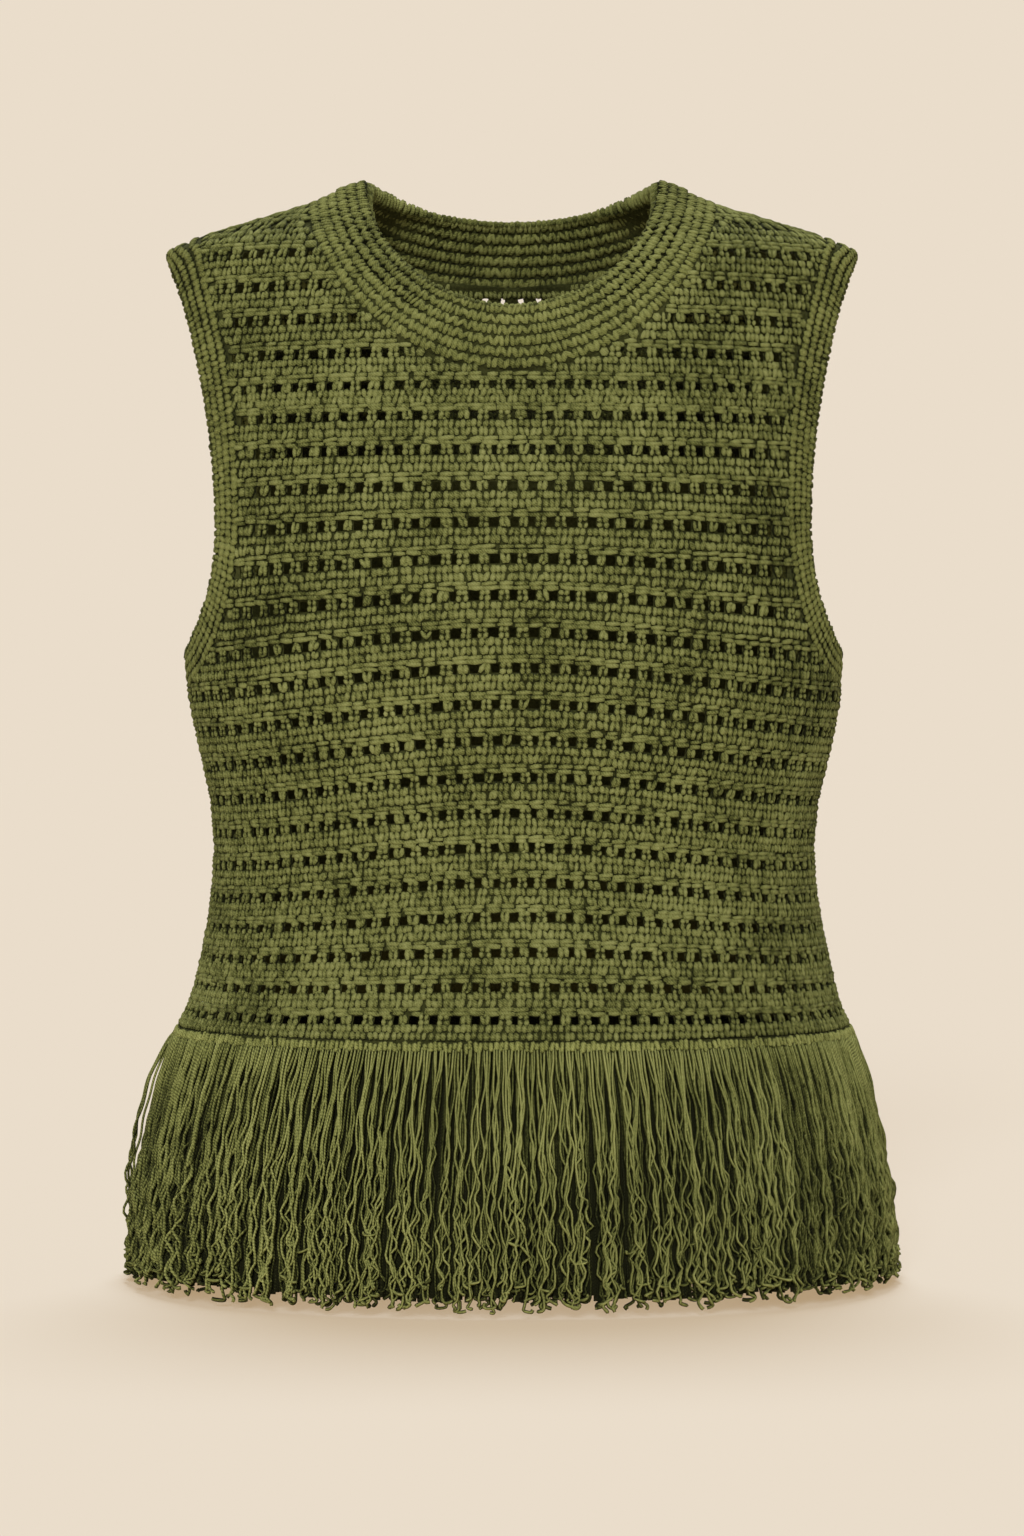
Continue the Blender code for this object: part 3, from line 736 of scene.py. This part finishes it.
def course(batch, side, part, count, half_v, lean_of, wide=1.1, deep=0.15, brick=False, loose=0.1,
           height=None, blunt=False, inside=False):
    """Rows of domed stitches over a panel, one row at a height of its own, or rows inside the neck."""
    for row in range(FIRST_ROW, ROWS) if height is None else [0]:
        offset = 0.25 if brick and row % 2 else 0.0
        q = -1.0 + (np.arange(count) + 0.5 + offset * rng.uniform(0.6, 1.4)) * 2 / count
        q = np.clip(q + rng.normal(0, loose, count) * 2 / count, -1, 1)
        level = row + part + rng.normal(0, 0.012, count)
        z = row_height(side, level, q)
        if height is not None:
            z = height + rng.normal(0, 0.1, count)
        keep = (edge_distance(side, z, q) > 0.3) & (z > (HEM_Z + 3.4 if height is None else HEM_Z))
        if inside:
            keep &= (z > INSIDE_Z) & (np.abs(q) < INSIDE_Q)
        number = np.nonzero(keep)[0]
        q = q[keep]
        z = z[keep]
        if not len(q):
            continue
        point, out, along, up = axes(side, z, q)
        pitch = np.linalg.norm(surface(side, z, np.clip(q + 0.5 / count, -1, 1))
                               - surface(side, z, np.clip(q - 0.5 / count, -1, 1)), axis=-1) * 2
        pitch = np.maximum(pitch, 1.6)
        pitch = np.where(np.abs(q) > 1 - 0.6 / count, 2 * HALF_ARC / count, pitch)
        size = len(q)
        tall = spread(SHEET_DEEP + 0.5 - deep, 0.08, size)
        base = point - out * (SHEET_DEEP + 0.5)
        # Painted shade, darker towards the sides
        dim = side_painted_shade(q)
        if inside:
            # Lower down the inside lies in the dark behind the eyelets
            dim -= 0.42 * smooth((-46.0 - z) / 26.0)
            base = point - out * (WALL_DEEP - 0.5)
            out = -out
            tall *= 0.8
        longer = stretch(up)
        domes(batch, (base, out, along, up), spread(pitch * 0.5 * wide, 0.12, size),
              spread(half_v, 0.08, size) * longer, tall, lean_of(number, size) / longer, blunt, dim=dim)


def panel_courses(side):
    """The courses of plain stitches between the eyelet rows, one at the hem, and those inside the neck."""
    batch = Batch()
    course(batch, side, 0.27, STITCHES, 2.25, lambda n, s: rng.normal(0, 0.24, s), wide=1.24, brick=True,
           loose=0.13)
    course(batch, side, 0.5, STITCHES, 2.65,
           lambda n, s: np.where(n // 2 % 2 == 0, 0.24, -0.24) + rng.normal(0, 0.2, s), wide=1.2, deep=0.2,
           loose=0.12)
    course(batch, side, 0.0, STITCHES, 2.2, lambda n, s: rng.normal(0, 0.16, s), wide=1.12,
           height=HEM_Z + 2.1)
    for part in (0.25, 0.5, 0.75):
        course(batch, side, part, STITCHES, 2.3, lambda n, s: rng.normal(0, 0.2, s), wide=1.14, inside=True)
    return batch.make(f"{side}_panel_stitches", BODY)


def on_row(side, row, q, spare):
    """Which places along a row lie inside the panel's edge by more than spare, with share and height."""
    z = row_height(side, row, q)
    inside = edge_distance(side, z, q) > spare
    return inside, q[inside], z[inside]


def posts(batch, side, row):
    """The posts between eyelets. Most are four knobs round a dark middle, others two legs and a knob."""
    centre, wide = MARKS[side]
    real = wide[row] > 0
    inside, q, z = on_row(side, row, centre[row][real], 1.0)
    half = wide[row][real][inside] * HALF_ARC * np.interp(z, [-40, -14], [1.0, 0.8])
    where = axes(side, z, q)
    legs = rng.uniform(0, 1, len(q)) < 0.35
    for turn in (-1.0, 1.0):
        for lift in (1.0, -1.0):
            some = ~legs | (lift > 0)
            point, out, along, up = (w[some] for w in where)
            tall_one = legs[some]
            size = len(point)
            leg = 0.54 * half[some] * spread(1.0, 0.1, size)
            aside = turn * (half[some] - 0.9 * leg + 0.15 - 0.3 * (lift > 0))
            longer = stretch(up)
            above = (np.where(tall_one, 0.0, lift * 1.45) + rng.uniform(-0.25, 0.25, size)) * longer
            base = point - out * 2.6 + along * aside[:, None] + up * above[:, None]
            domes(batch, (base, out, along, up), leg,
                  np.where(tall_one, 2.9, 1.7) * spread(1.0, 0.1, size) * longer,
                  spread(2.35, 0.1, size), rng.normal(0, 0.22, size) / longer, dim=side_painted_shade(q[some]))
    point, out, along, up = (w[legs] for w in where)
    size = len(point)
    above = rng.choice([-2.0, 2.0], size) + rng.uniform(-0.3, 0.3, size)
    domes(batch, (point - out * 2.6 + up * above[:, None], out, along, up), half[legs] * 0.5,
          spread(0.85, 0.12, size), spread(2.1, 0.1, size), rng.normal(0, 0.3, size), dim=side_painted_shade(q[legs]))


def panel_chains(side):
    """Chain stitches along each course, posts between eyelets, and stitches where there are no eyelets."""
    batch = Batch()
    for part, half_v, tilt in ((0.69, 1.3, 0.06), (0.806, 1.35, -0.02)):
        course(batch, side, part, LINKS, half_v, lambda n, s: tilt + rng.normal(0, 0.05, s), wide=1.06,
               deep=0.1, loose=0.06, blunt=True)
    for row in range(ROWS):
        mid, _, filled = gaps(side, row)
        _, q, z = on_row(side, row, mid[filled], 0.0)
        size = len(q)
        if size:
            point, out, along, up = axes(side, z, q)
            domes(batch, (point - out * 2.8, out, along, up), np.full(size, 2.7), 2.5 * stretch(up),
                  spread(2.2, 0.05, size), rng.normal(0, 0.1, size), dim=side_painted_shade(q))
        posts(batch, side, row)
    for row in range(FIRST_ROW, 0):
        _, q, z = on_row(side, row, -1.0 + (np.arange(STITCHES) + 0.5) * 2 / STITCHES, 0.3)
        size = len(q)
        if size:
            point, out, along, up = axes(side, z, q)
            longer = stretch(up)
            domes(batch, (point - out * 2.6, out, along, up), spread(1.6, 0.1, size),
                  spread(2.3, 0.06, size) * longer, spread(2.4, 0.05, size),
                  rng.normal(0, 0.2, size) / longer, dim=side_painted_shade(q))
    return batch.make(f"{side}_panel_chains", BODY)


# Bands, and how much duller they are than their yarn
BAND_DIM = -0.03


def corner_share(point):
    """From 0 in the middle of the neck to 1 where it turns at the shoulders."""
    return smooth((np.abs(point[:, 0]) - 36.0) / 34.0)


class Ring:
    """A band as stations round an opening. at(s) gives points and normals, s from 0 at the panel to 1."""

    def __init__(self, at, count):
        self.at = at
        self.count = count

    def line(self, s, amount, phase=0.0):
        """amount points evenly spaced round the band at s, with normals and directions."""
        ring, normals = self.at(s)
        nearby = self.at(min(s + 0.02, 1.0))[0] - self.at(max(s - 0.02, 0.0))[0]
        closed = np.concatenate([ring, ring[:1]])
        run = np.concatenate([[0.0], np.cumsum(np.linalg.norm(np.diff(closed, axis=0), axis=1))])
        at = ((np.arange(amount) + phase) / amount * run[-1]) % run[-1]
        index = np.interp(at, run, np.arange(self.count + 1))
        low = index.astype(int) % self.count
        high = (low + 1) % self.count
        part = (index - index.astype(int))[:, None]

        def mix(values):
            return values[low] * (1 - part) + values[high] * part

        point = mix(ring)
        out = unit(mix(normals))
        along = unit(ring[high] - ring[low])
        along = unit(along - out * np.sum(along * out, -1, keepdims=True))
        up = mix(nearby)
        up = up - out * np.sum(up * out, -1, keepdims=True)
        up = unit(up - along * np.sum(up * along, -1, keepdims=True))
        return point, out, along, up, run[-1] / amount

    def shell(self, name, parts):
        """The band's backing, in the middle of its wall."""
        count = self.count
        base, n = (np.concatenate(p) for p in zip(*[self.at(k / parts) for k in range(parts + 1)]))
        outer = base - n * (BAND_WALL / 2 - 0.4)
        inner = base - n * (BAND_WALL / 2 + 0.4)
        place = np.arange(len(base))
        lay = np.stack([place % count / count * 500.0, place // count / parts * 30.0, place * 0.0], -1)
        faces = []
        for low in range(0, parts * count, count):
            for i in range(count):
                j = (i + 1) % count
                faces.append((low + i, low + j, low + count + j, low + count + i))
        a, b, _, d = outer[list(faces[0])]
        flip = np.dot(np.cross(b - a, d - a), self.at(0.0)[1][0]) < 0
        return wall(name, outer, inner, faces, flip, BAND_BACKING, lay)

    def rounds(self, batch, rounds, amount, face, swell):
        """Rounds of paired leaning strands on one face of the band, with a furrow between rounds."""
        wide_here = np.linalg.norm(self.at(1.0)[0] - self.at(0.0)[0], axis=1).mean() / rounds
        reach = BAND_WALL / 2 - 0.1
        for k in range(rounds):
            s = (k + 0.5) / rounds
            phase = 0.5 * (k % 2) + (0.2 if face < 0 else 0.0)
            point, out, along, up, pitch = self.line(s, amount * 2, phase)
            size = len(point)
            turn = np.where(np.arange(size) % 2 == 0, 1.0, -1.0)
            # At the neck's corners the band bulges near its edge
            raised = 1.7 * smooth((s - 0.35) / 0.3) * (1.0 - smooth((s - 0.88) / 0.12))
            centre = point - out * (BAND_WALL / 2 - swell * raised * corner_share(point))[:, None]
            domes(batch, (centre + up * rng.normal(0, 0.1, size)[:, None], out * face, along, up),
                  spread(pitch * 0.64, 0.15, size), spread(wide_here * 0.515, 0.06, size),
                  spread(reach, 0.08, size), turn * 0.27 * face + rng.normal(0, 0.26, size), dim=BAND_DIM)


def neck_ring():
    """Stations from the panels' neck edge to the band's top edge, round from the centre front."""
    parts = []
    for side, sign in (("front", 1.0), ("back", 1.0), ("back", -1.0), ("front", -1.0)):
        q, z = NECK[side]
        a = np.linspace(0.0, math.pi / 2, len(q))
        rising = (side == "front") == (sign > 0)
        q, z, a = (v[:-1] if rising else v[:0:-1] for v in (q, z, a))
        c = np.clip(np.cos(a), 0, 1)
        point = surface(side, z, q * sign)
        point[:, 1] = np.where(q > 0.999, 0.0, point[:, 1])
        top = np.stack([NECK_HALF * np.sin(a) * sign, NECK_MID_Y + SIGN[side] * NECK_DEEP[side] * c,
                        NECK_TOP_Z - NECK_TOP[side] * c ** NECK_FALL[side]], -1)
        parts.append((point, normal(side, z, q * sign), top))
    seam, seam_n, top = (np.concatenate(p) for p in zip(*parts))
    along = np.roll(seam, -1, 0) - np.roll(seam, 1, 0)
    across = top - seam
    own = unit(np.cross(across, along))
    own[np.sum(own * seam_n, axis=1) < 0] *= -1
    step_off = unit(across) * (SEAM / 2)

    def at(s):
        n = unit(seam_n * (1 - s) + own * s)
        return (seam + step_off) * (1 - s) + top * s + n * (math.sin(math.pi * s) * 0.8), n

    return Ring(at, len(seam))


def arm_ring(sign):
    """Stations between the panel's armhole edge and the band's outer edge, front and back."""
    steps = (len(ARMHOLE) - 1) * 4
    spots = np.linspace(0, len(ARMHOLE) - 1, steps + 1)
    table = np.stack([np.interp(spots, np.arange(len(ARMHOLE)), ARMHOLE[:, c]) for c in range(4)], -1)
    stations = []
    for side in SIDES:
        for i in range(steps) if side == "front" else range(steps, 0, -1):
            end = i in (0, steps)
            px, pz, ex, ez = table[i]
            qp = 1.0 if end else share_at(side, px, pz)
            qe = 1.0 if end else share_at(side, ex, ez)
            stations.append((qp, pz, qe, ez, side == "back", end))
    qp, zp, qe, ze, back, ends = np.array(stations, float).T
    back = back[:, None]

    def at(s):
        q = (qp * (1 - s) + qe * s) * sign
        z = zp * (1 - s) + ze * s
        base = np.where(back, surface("back", z, q), surface("front", z, q))
        n = np.where(back, normal("back", z, q), normal("front", z, q))
        base[:, 1] = np.where(ends, 0.0, base[:, 1])
        return base + n * (math.sin(math.pi * s) * 0.4), n

    return Ring(at, len(stations))


def rim(batch, ring, amount, swell):
    """The last round's strands, wrapped over the free edge, fuller by swell towards the sides."""
    point, out, along, up, pitch = ring.line(1.0, amount)
    size = len(point)
    corner = corner_share(point) if swell else np.zeros(size)
    half = BAND_WALL * 0.58
    # At the sides the edge rolls over, and behind them the roll stands a little higher
    higher = corner * (4.2 * smooth((point[:, 1] - NECK_MID_Y) / 10.0) - 2.2)
    base = point - out * (BAND_WALL / 2 + half * swell * corner - higher)[:, None] - up * 2.1
    roll = unit(up - out * (0.45 * corner)[:, None])
    across = unit(out + up * (0.45 * corner)[:, None])
    domes(batch, (base, roll, along, across), spread(pitch * 0.6, 0.1, size),
          spread(half, 0.06, size) * (1.0 + swell * corner), spread(2.9, 0.08, size) * (1.0 + 0.7 * corner),
          rng.normal(0, 0.2, size), dusk=0.3, dim=BAND_DIM)


def band(name, ring, rounds, amount, swell):
    """A band's backing and its stitches, outside, inside and over the edge."""
    shell = ring.shell(f"{name}_knit", rounds)
    batch = Batch()
    for face in (1.0, -1.0):
        ring.rounds(batch, rounds, amount, face, swell)
    rim(batch, ring, amount * 3 // 2, swell)
    return shell, batch.make(f"{name}_stitches", BAND)


# Fringe layers from the inside out: strands a side, points along each, depth, half thickness, crinkle,
# pull into clumps, lightness, which is painted shade that darkens the inner layers, and how far the ends stay
# up
FRINGE_LAYERS = (
    (400, 8, 5.4, 1.8, 0.12, 0.0, -0.66, 4.5),
    (280, 25, 3.2, 0.95, 0.8, 0.3, -0.26, 1.5),
    (320, 45, 1.2, 0.92, 1.0, 1.0, 0.02, 0.0),
)
FRINGE_ARC = 255.0
CLUMPS = 100
# The last part of a strand curls, over this many of its points
CURL_FROM = 0.93
CURL_POINTS = 8
# Painted shade: how much darker the fringe is drawn towards its sides, where less light falls: on the front's
# right, on its left, and behind
EDGE_PAINTED_SHADE = (0.19, 0.1, 0.2)
# Columns of the strip that holds the fringe, and heading loops along it
STRIP_COLUMNS = 97
LOOPS = 196


def layer_strands(batch, side, draw, clumps, layer):
    """One layer of the fringe: strands in clumps, crinkled downwards, with curled ends."""
    count, points, depth, half, crinkle, pull_in, light, up_from = layer
    clump_q, clump_drift, clump_deep = clumps

    def each(low, high):
        return draw.uniform(low, high, (count, 1))

    def wave(turns):
        return np.sin(2 * math.pi * (turns + each(0, 1)))

    root = np.linspace(-1 + 1 / count, 1 - 1 / count, count) + draw.normal(0, 0.3 / count, count)
    nearest = np.abs(root[:, None] - clump_q[None, :]).argmin(1)
    pull = (clump_q[nearest] - root)[:, None] * each(0.2, 1.0) * pull_in
    root = root[:, None]
    top_z = HEM_Z - 2.8 - each(0, 1.6)
    end_z = FRINGE_END - 0.5 + each(0, 1) ** 1.2 * (14.0 if pull_in else 4.0) + up_from
    end_z = np.where((each(0, 1) > 0.93) & (pull_in > 0), end_z + each(4, 40), end_z)
    if pull_in:
        straight = CURL_FROM * np.linspace(0, 1, points - CURL_POINTS) ** 0.85
        t = np.concatenate([straight, np.linspace(CURL_FROM, 1, CURL_POINTS + 1)[1:]])
    else:
        t = np.linspace(0, 1, points) ** 0.82
    begin = smooth(t * 5.5)
    # A clump gathers under the heading, loosens half way down and drifts as one
    sideways = pull * FRINGE_ARC * begin * (1 - 0.9 * smooth(t * 1.6 - 0.45))
    sideways += clump_drift[nearest][:, None] * smooth(t) * pull_in
    sideways += each(-2.8, 2.8) * smooth(t) * (0.1 + 0.9 * pull_in)
    bend_size = each(0.35, 1.7) * (0.15 + 0.85 * pull_in)
    sideways += bend_size * begin * wave(each(1.6, 3.6) * t)
    amount = (0.1 + 1.25 * smooth(t * 1.15)) * begin * crinkle * each(0.4, 1.2)
    # Seen edge-on at the sides the crinkle needs more size
    amount *= 1 + 0.6 * smooth((np.abs(root) - 0.45) / 0.35)
    turns = (3.7 * t + 3.1 * t ** 2) * each(0.75, 1.25)
    sideways += amount * wave(turns)
    sideways += 0.45 * amount * wave(1.62 * turns)
    deep = depth + clump_deep[nearest][:, None] * begin * pull_in + each(-0.6, 0.6)
    deep += 0.75 * amount * wave(0.83 * turns)
    deep = np.maximum(deep - 0.8 * smooth((t - 0.5) * 2), -1.3)
    # A few strands stray off on the right-hand side of the wearer
    stray = (root < -0.962) & (depth < 2) & (each(0, 1) > 0.5)
    deep = np.where(stray, deep - each(2.5, 7.5) * np.sin(math.pi * t ** 0.8), deep)
    # The last part curls round to one side, and its lowest point is the strand's end height
    bend = 0.3 + 4.0 * each(0, 1) ** 1.4 if pull_in else each(0.01, 0.02)
    radius = 5.2 * each(0.6, 1.3) / bend
    drop = radius * np.sin(np.minimum(bend, math.pi / 2))
    s = np.clip((t - CURL_FROM) / (1 - CURL_FROM), 0, 1)
    z = top_z + (end_z + drop - top_z) * np.minimum(t / CURL_FROM, 1.0) - radius * np.sin(bend * s)
    curl = radius * (1 - np.cos(bend * s)) * 0.9
    sideways += draw.choice([-1.0, 1.0], (count, 1)) * curl
    deep += draw.normal(0, 1.0, (count, 1)) * s * s
    q = root + sideways / FRINGE_ARC
    q = np.where(np.abs(q) > 1, np.sign(q) * (2 - np.abs(q)), q)
    point = surface(side, z, q)
    n = normal(side, z, q)
    line = point - n * deep[:, :, None]
    direction = unit(np.gradient(line, axis=1))
    side_way = unit(np.cross(direction, n))
    outward = np.cross(side_way, direction)
    thick = half * each(0.85, 1.1) * np.interp(t, [0, 0.96, 0.985, 1.0], [1.0, 1.0, 1.25, 1.1])
    verts = np.zeros((count, points, 3, 3))
    for c in range(3):
        a = math.pi / 2 + c * 2 * math.pi / 3
        verts[:, :, c] = line + (side_way * math.cos(a) + outward * math.sin(a)) * thick[:, :, None]
    quads = []
    for p in range(0, points * 3 - 3, 3):
        quads += [(p + c, p + (c + 1) % 3, p + 3 + (c + 1) % 3, p + 3 + c) for c in range(3)]
    last = (points - 1) * 3
    tone = draw.uniform(-1, 1, count)
    lay = np.zeros((count, points, 3, 3))
    lay[..., 0] = (np.arange(3) * 1.5)[None, None, :]
    lay[..., 1] = (z + 500.0)[:, :, None]
    lay[..., 2] = (tone * 23.0)[:, None, None]
    # Painted shade: strands are darker in the inner layers and where they lie deeper; they are also darker
    # further down each strand
    ridge = light + 0.17 - 0.11 * np.clip(deep - depth, -1.5, 1.5) - 0.17 * t
    # Painted shade towards the fringe's sides
    right_dim, left_dim, back_dim = EDGE_PAINTED_SHADE
    edge_shade = np.where(root < 0, right_dim, left_dim) if side == "front" else back_dim
    ridge -= edge_shade * smooth((np.abs(root) - 0.35) / 0.45)
    # Painted shade round each strand: its two flanks are darker than its outward edge
    rise = ridge[:, :, None] + np.array([0.02, -0.36, -0.36])[None, None, :]
    batch.add(verts.reshape(count, -1, 3), quads, [(2, 1, 0), (last, last + 1, last + 2)], tone,
              lay.reshape(count, -1, 3), rise)


def fringe(side, seed):
    """Loose strands from the hem in layers."""
    draw = np.random.default_rng(seed)
    batch = Batch()
    clump_q = -1.0 + (np.arange(CLUMPS) + 0.5) * 2 / CLUMPS + draw.normal(0, 0.4 / CLUMPS, CLUMPS)
    clumps = (clump_q, draw.normal(0, 1.7, CLUMPS), draw.uniform(-0.7, 1.1, CLUMPS))
    for layer in FRINGE_LAYERS:
        layer_strands(batch, side, draw, clumps, layer)
    return batch.make(f"{side}_fringe_strands", LOOSE)


def heading(side):
    """The row of loops that holds the fringe, on its narrow strip."""
    q = np.tile(np.linspace(-1.0, 1.0, STRIP_COLUMNS), 3)
    z = np.repeat([HEM_Z - SEAM / 2, HEM_Z - 2.4, HEM_Z - 4.7], STRIP_COLUMNS)
    point = surface(side, z, q)
    n = normal(side, z, q)
    outer = point - n * 1.7
    inner = point - n * 3.3
    close_seams(side, q, (outer, inner))
    faces = []
    for top in (0, STRIP_COLUMNS):
        low = top + STRIP_COLUMNS
        for k in range(STRIP_COLUMNS - 1):
            faces.append((low + k, low + k + 1, top + k + 1, top + k))
    lay = np.stack([q * HALF_ARC, z, z * 0], -1)
    strip = wall(f"{side}_fringe_strip", outer, inner, faces, side == "back", BACKING, lay)
    q = -1.0 + (np.arange(LOOPS) + 0.5 + rng.normal(0, 0.1, LOOPS)) * 2 / LOOPS
    z = HEM_Z - 2.9 + rng.normal(0, 0.35, LOOPS)
    point, out, along, up = axes(side, z, q)
    batch = Batch()
    beads(batch, (point - out, out, along, up), spread(1.3, 0.12, LOOPS), spread(2.9, 0.12, LOOPS),
          spread(1.25, 0.1, LOOPS), rng.normal(0, 0.18, LOOPS))
    return strip, batch.make(f"{side}_fringe_loops", LOOSE)


def ride(slot, *pieces):
    for piece in pieces:
        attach(piece, "root")


for name, ring, rounds, amount, swell, flat in (
        ("neck_band", neck_ring(), 6, 116, 0.9, (0.6, 0.033)),
        ("armhole_band_left", arm_ring(1.0), 4, 88, 0.0, (0.49, 0.02)),
        ("armhole_band_right", arm_ring(-1.0), 4, 88, 0.0, (0.49, 0.02))):
    shell, stitches = band(name, ring, rounds, amount, swell)
    ride("band_yarn", shell, stitches)
    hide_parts(name)

for side, seed in (("front", 61), ("back", 62)):
    sheet = panel_sheet(side)
    stitches = panel_courses(side)
    chains = panel_chains(side)
    strip, loops = heading(side)
    strands = fringe(side, seed)
    ride("body_yarn", sheet, stitches, chains)
    ride("fringe_yarn", strip, loops, strands)
    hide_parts(f"{side}_panel")
    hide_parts(f"fringe_{side}")

# Floor, light and camera. The floor's own glow keeps the shadow faint and warm, as in the photograph
PALE = (0.823, 0.723, 0.597)
SKY = 0.13
GLOW = (0.54, 0.44, 0.31)
FLOOR_HALF = 60.0
FLOOR_BELOW = 0.004
# Width of the picture at the garment's middle and how far off that is, in metres
VIEW_WIDE = 0.79872
VIEW_FAR = 1.8
SENSOR = 36.0

scene = bpy.context.scene
scene.view_settings.view_transform = "Standard"

floor_mesh = bpy.data.meshes.new("floor")
floor_z = cad_box[0][2] - FLOOR_BELOW
corners = ((-1, -1), (1, -1), (1, 1), (-1, 1))
floor_mesh.from_pydata([(x * FLOOR_HALF, y * FLOOR_HALF, floor_z) for x, y in corners], [], [(0, 1, 2, 3)])
add_object("floor", floor_mesh)


def sun(name, strength, azimuth, elevation, angle):
    """A soft distant light. Azimuth 0 comes from the front, and grows towards +X."""
    data = bpy.data.lights.new(name, "SUN")
    data.energy = strength * math.pi
    data.angle = math.radians(angle)
    el = math.radians(elevation)
    add_object(name, data).rotation_euler = (math.pi / 2 - el, 0.0, math.radians(azimuth))
    return strength * math.sin(el)


level_light = sun("key", 0.71, -5.0, 26.0, 22.0) + sun("top", 0.72, 180.0, 70.0, 25.0)
own = [c * g for c, g in zip(PALE, GLOW)]
lit = [c * (1 - g) / (SKY * c + level_light) for c, g in zip(PALE, GLOW)]
paint = bpy.data.materials.new("floor_paint")
paint.use_nodes = True
tree = paint.node_tree
tree.nodes.remove(tree.nodes["Principled BSDF"])
matt = add_node(tree, "ShaderNodeBsdfDiffuse", {"Color": (*lit, 1.0)})
glow = add_node(tree, "ShaderNodeEmission", {"Color": (*own, 1.0)})
both = add_node(tree, "ShaderNodeAddShader", {0: matt.outputs["BSDF"], 1: glow.outputs["Emission"]})
fill(tree.nodes["Material Output"], {"Surface": both.outputs["Shader"]})
floor_mesh.materials.append(paint)

# The background is bright to the camera and lights the scene only faintly
world = bpy.data.worlds.new("studio")
scene.world = world
world.use_nodes = True
tree = world.node_tree
backdrop = fill(tree.nodes["Background"], {"Color": (*PALE, 1.0), "Strength": 1.0})
soft = add_node(tree, "ShaderNodeBackground", {"Color": (*PALE, 1.0), "Strength": SKY})
seen = add_node(tree, "ShaderNodeLightPath", {})
blend = add_node(tree, "ShaderNodeMixShader", {
    "Fac": seen.outputs["Is Camera Ray"], 1: soft.outputs["Background"], 2: backdrop.outputs["Background"]})
fill(tree.nodes["World Output"], {"Surface": blend.outputs["Shader"]})

camera_data = bpy.data.cameras.new("camera")
camera_data.sensor_width = SENSOR
camera_data.lens = SENSOR / (VIEW_WIDE / VIEW_FAR)
camera = add_object("camera", camera_data)
camera.location = [c * 0.001 for c in CAMERA]
camera.rotation_euler = (math.pi / 2, 0.0, 0.0)
scene.camera = camera
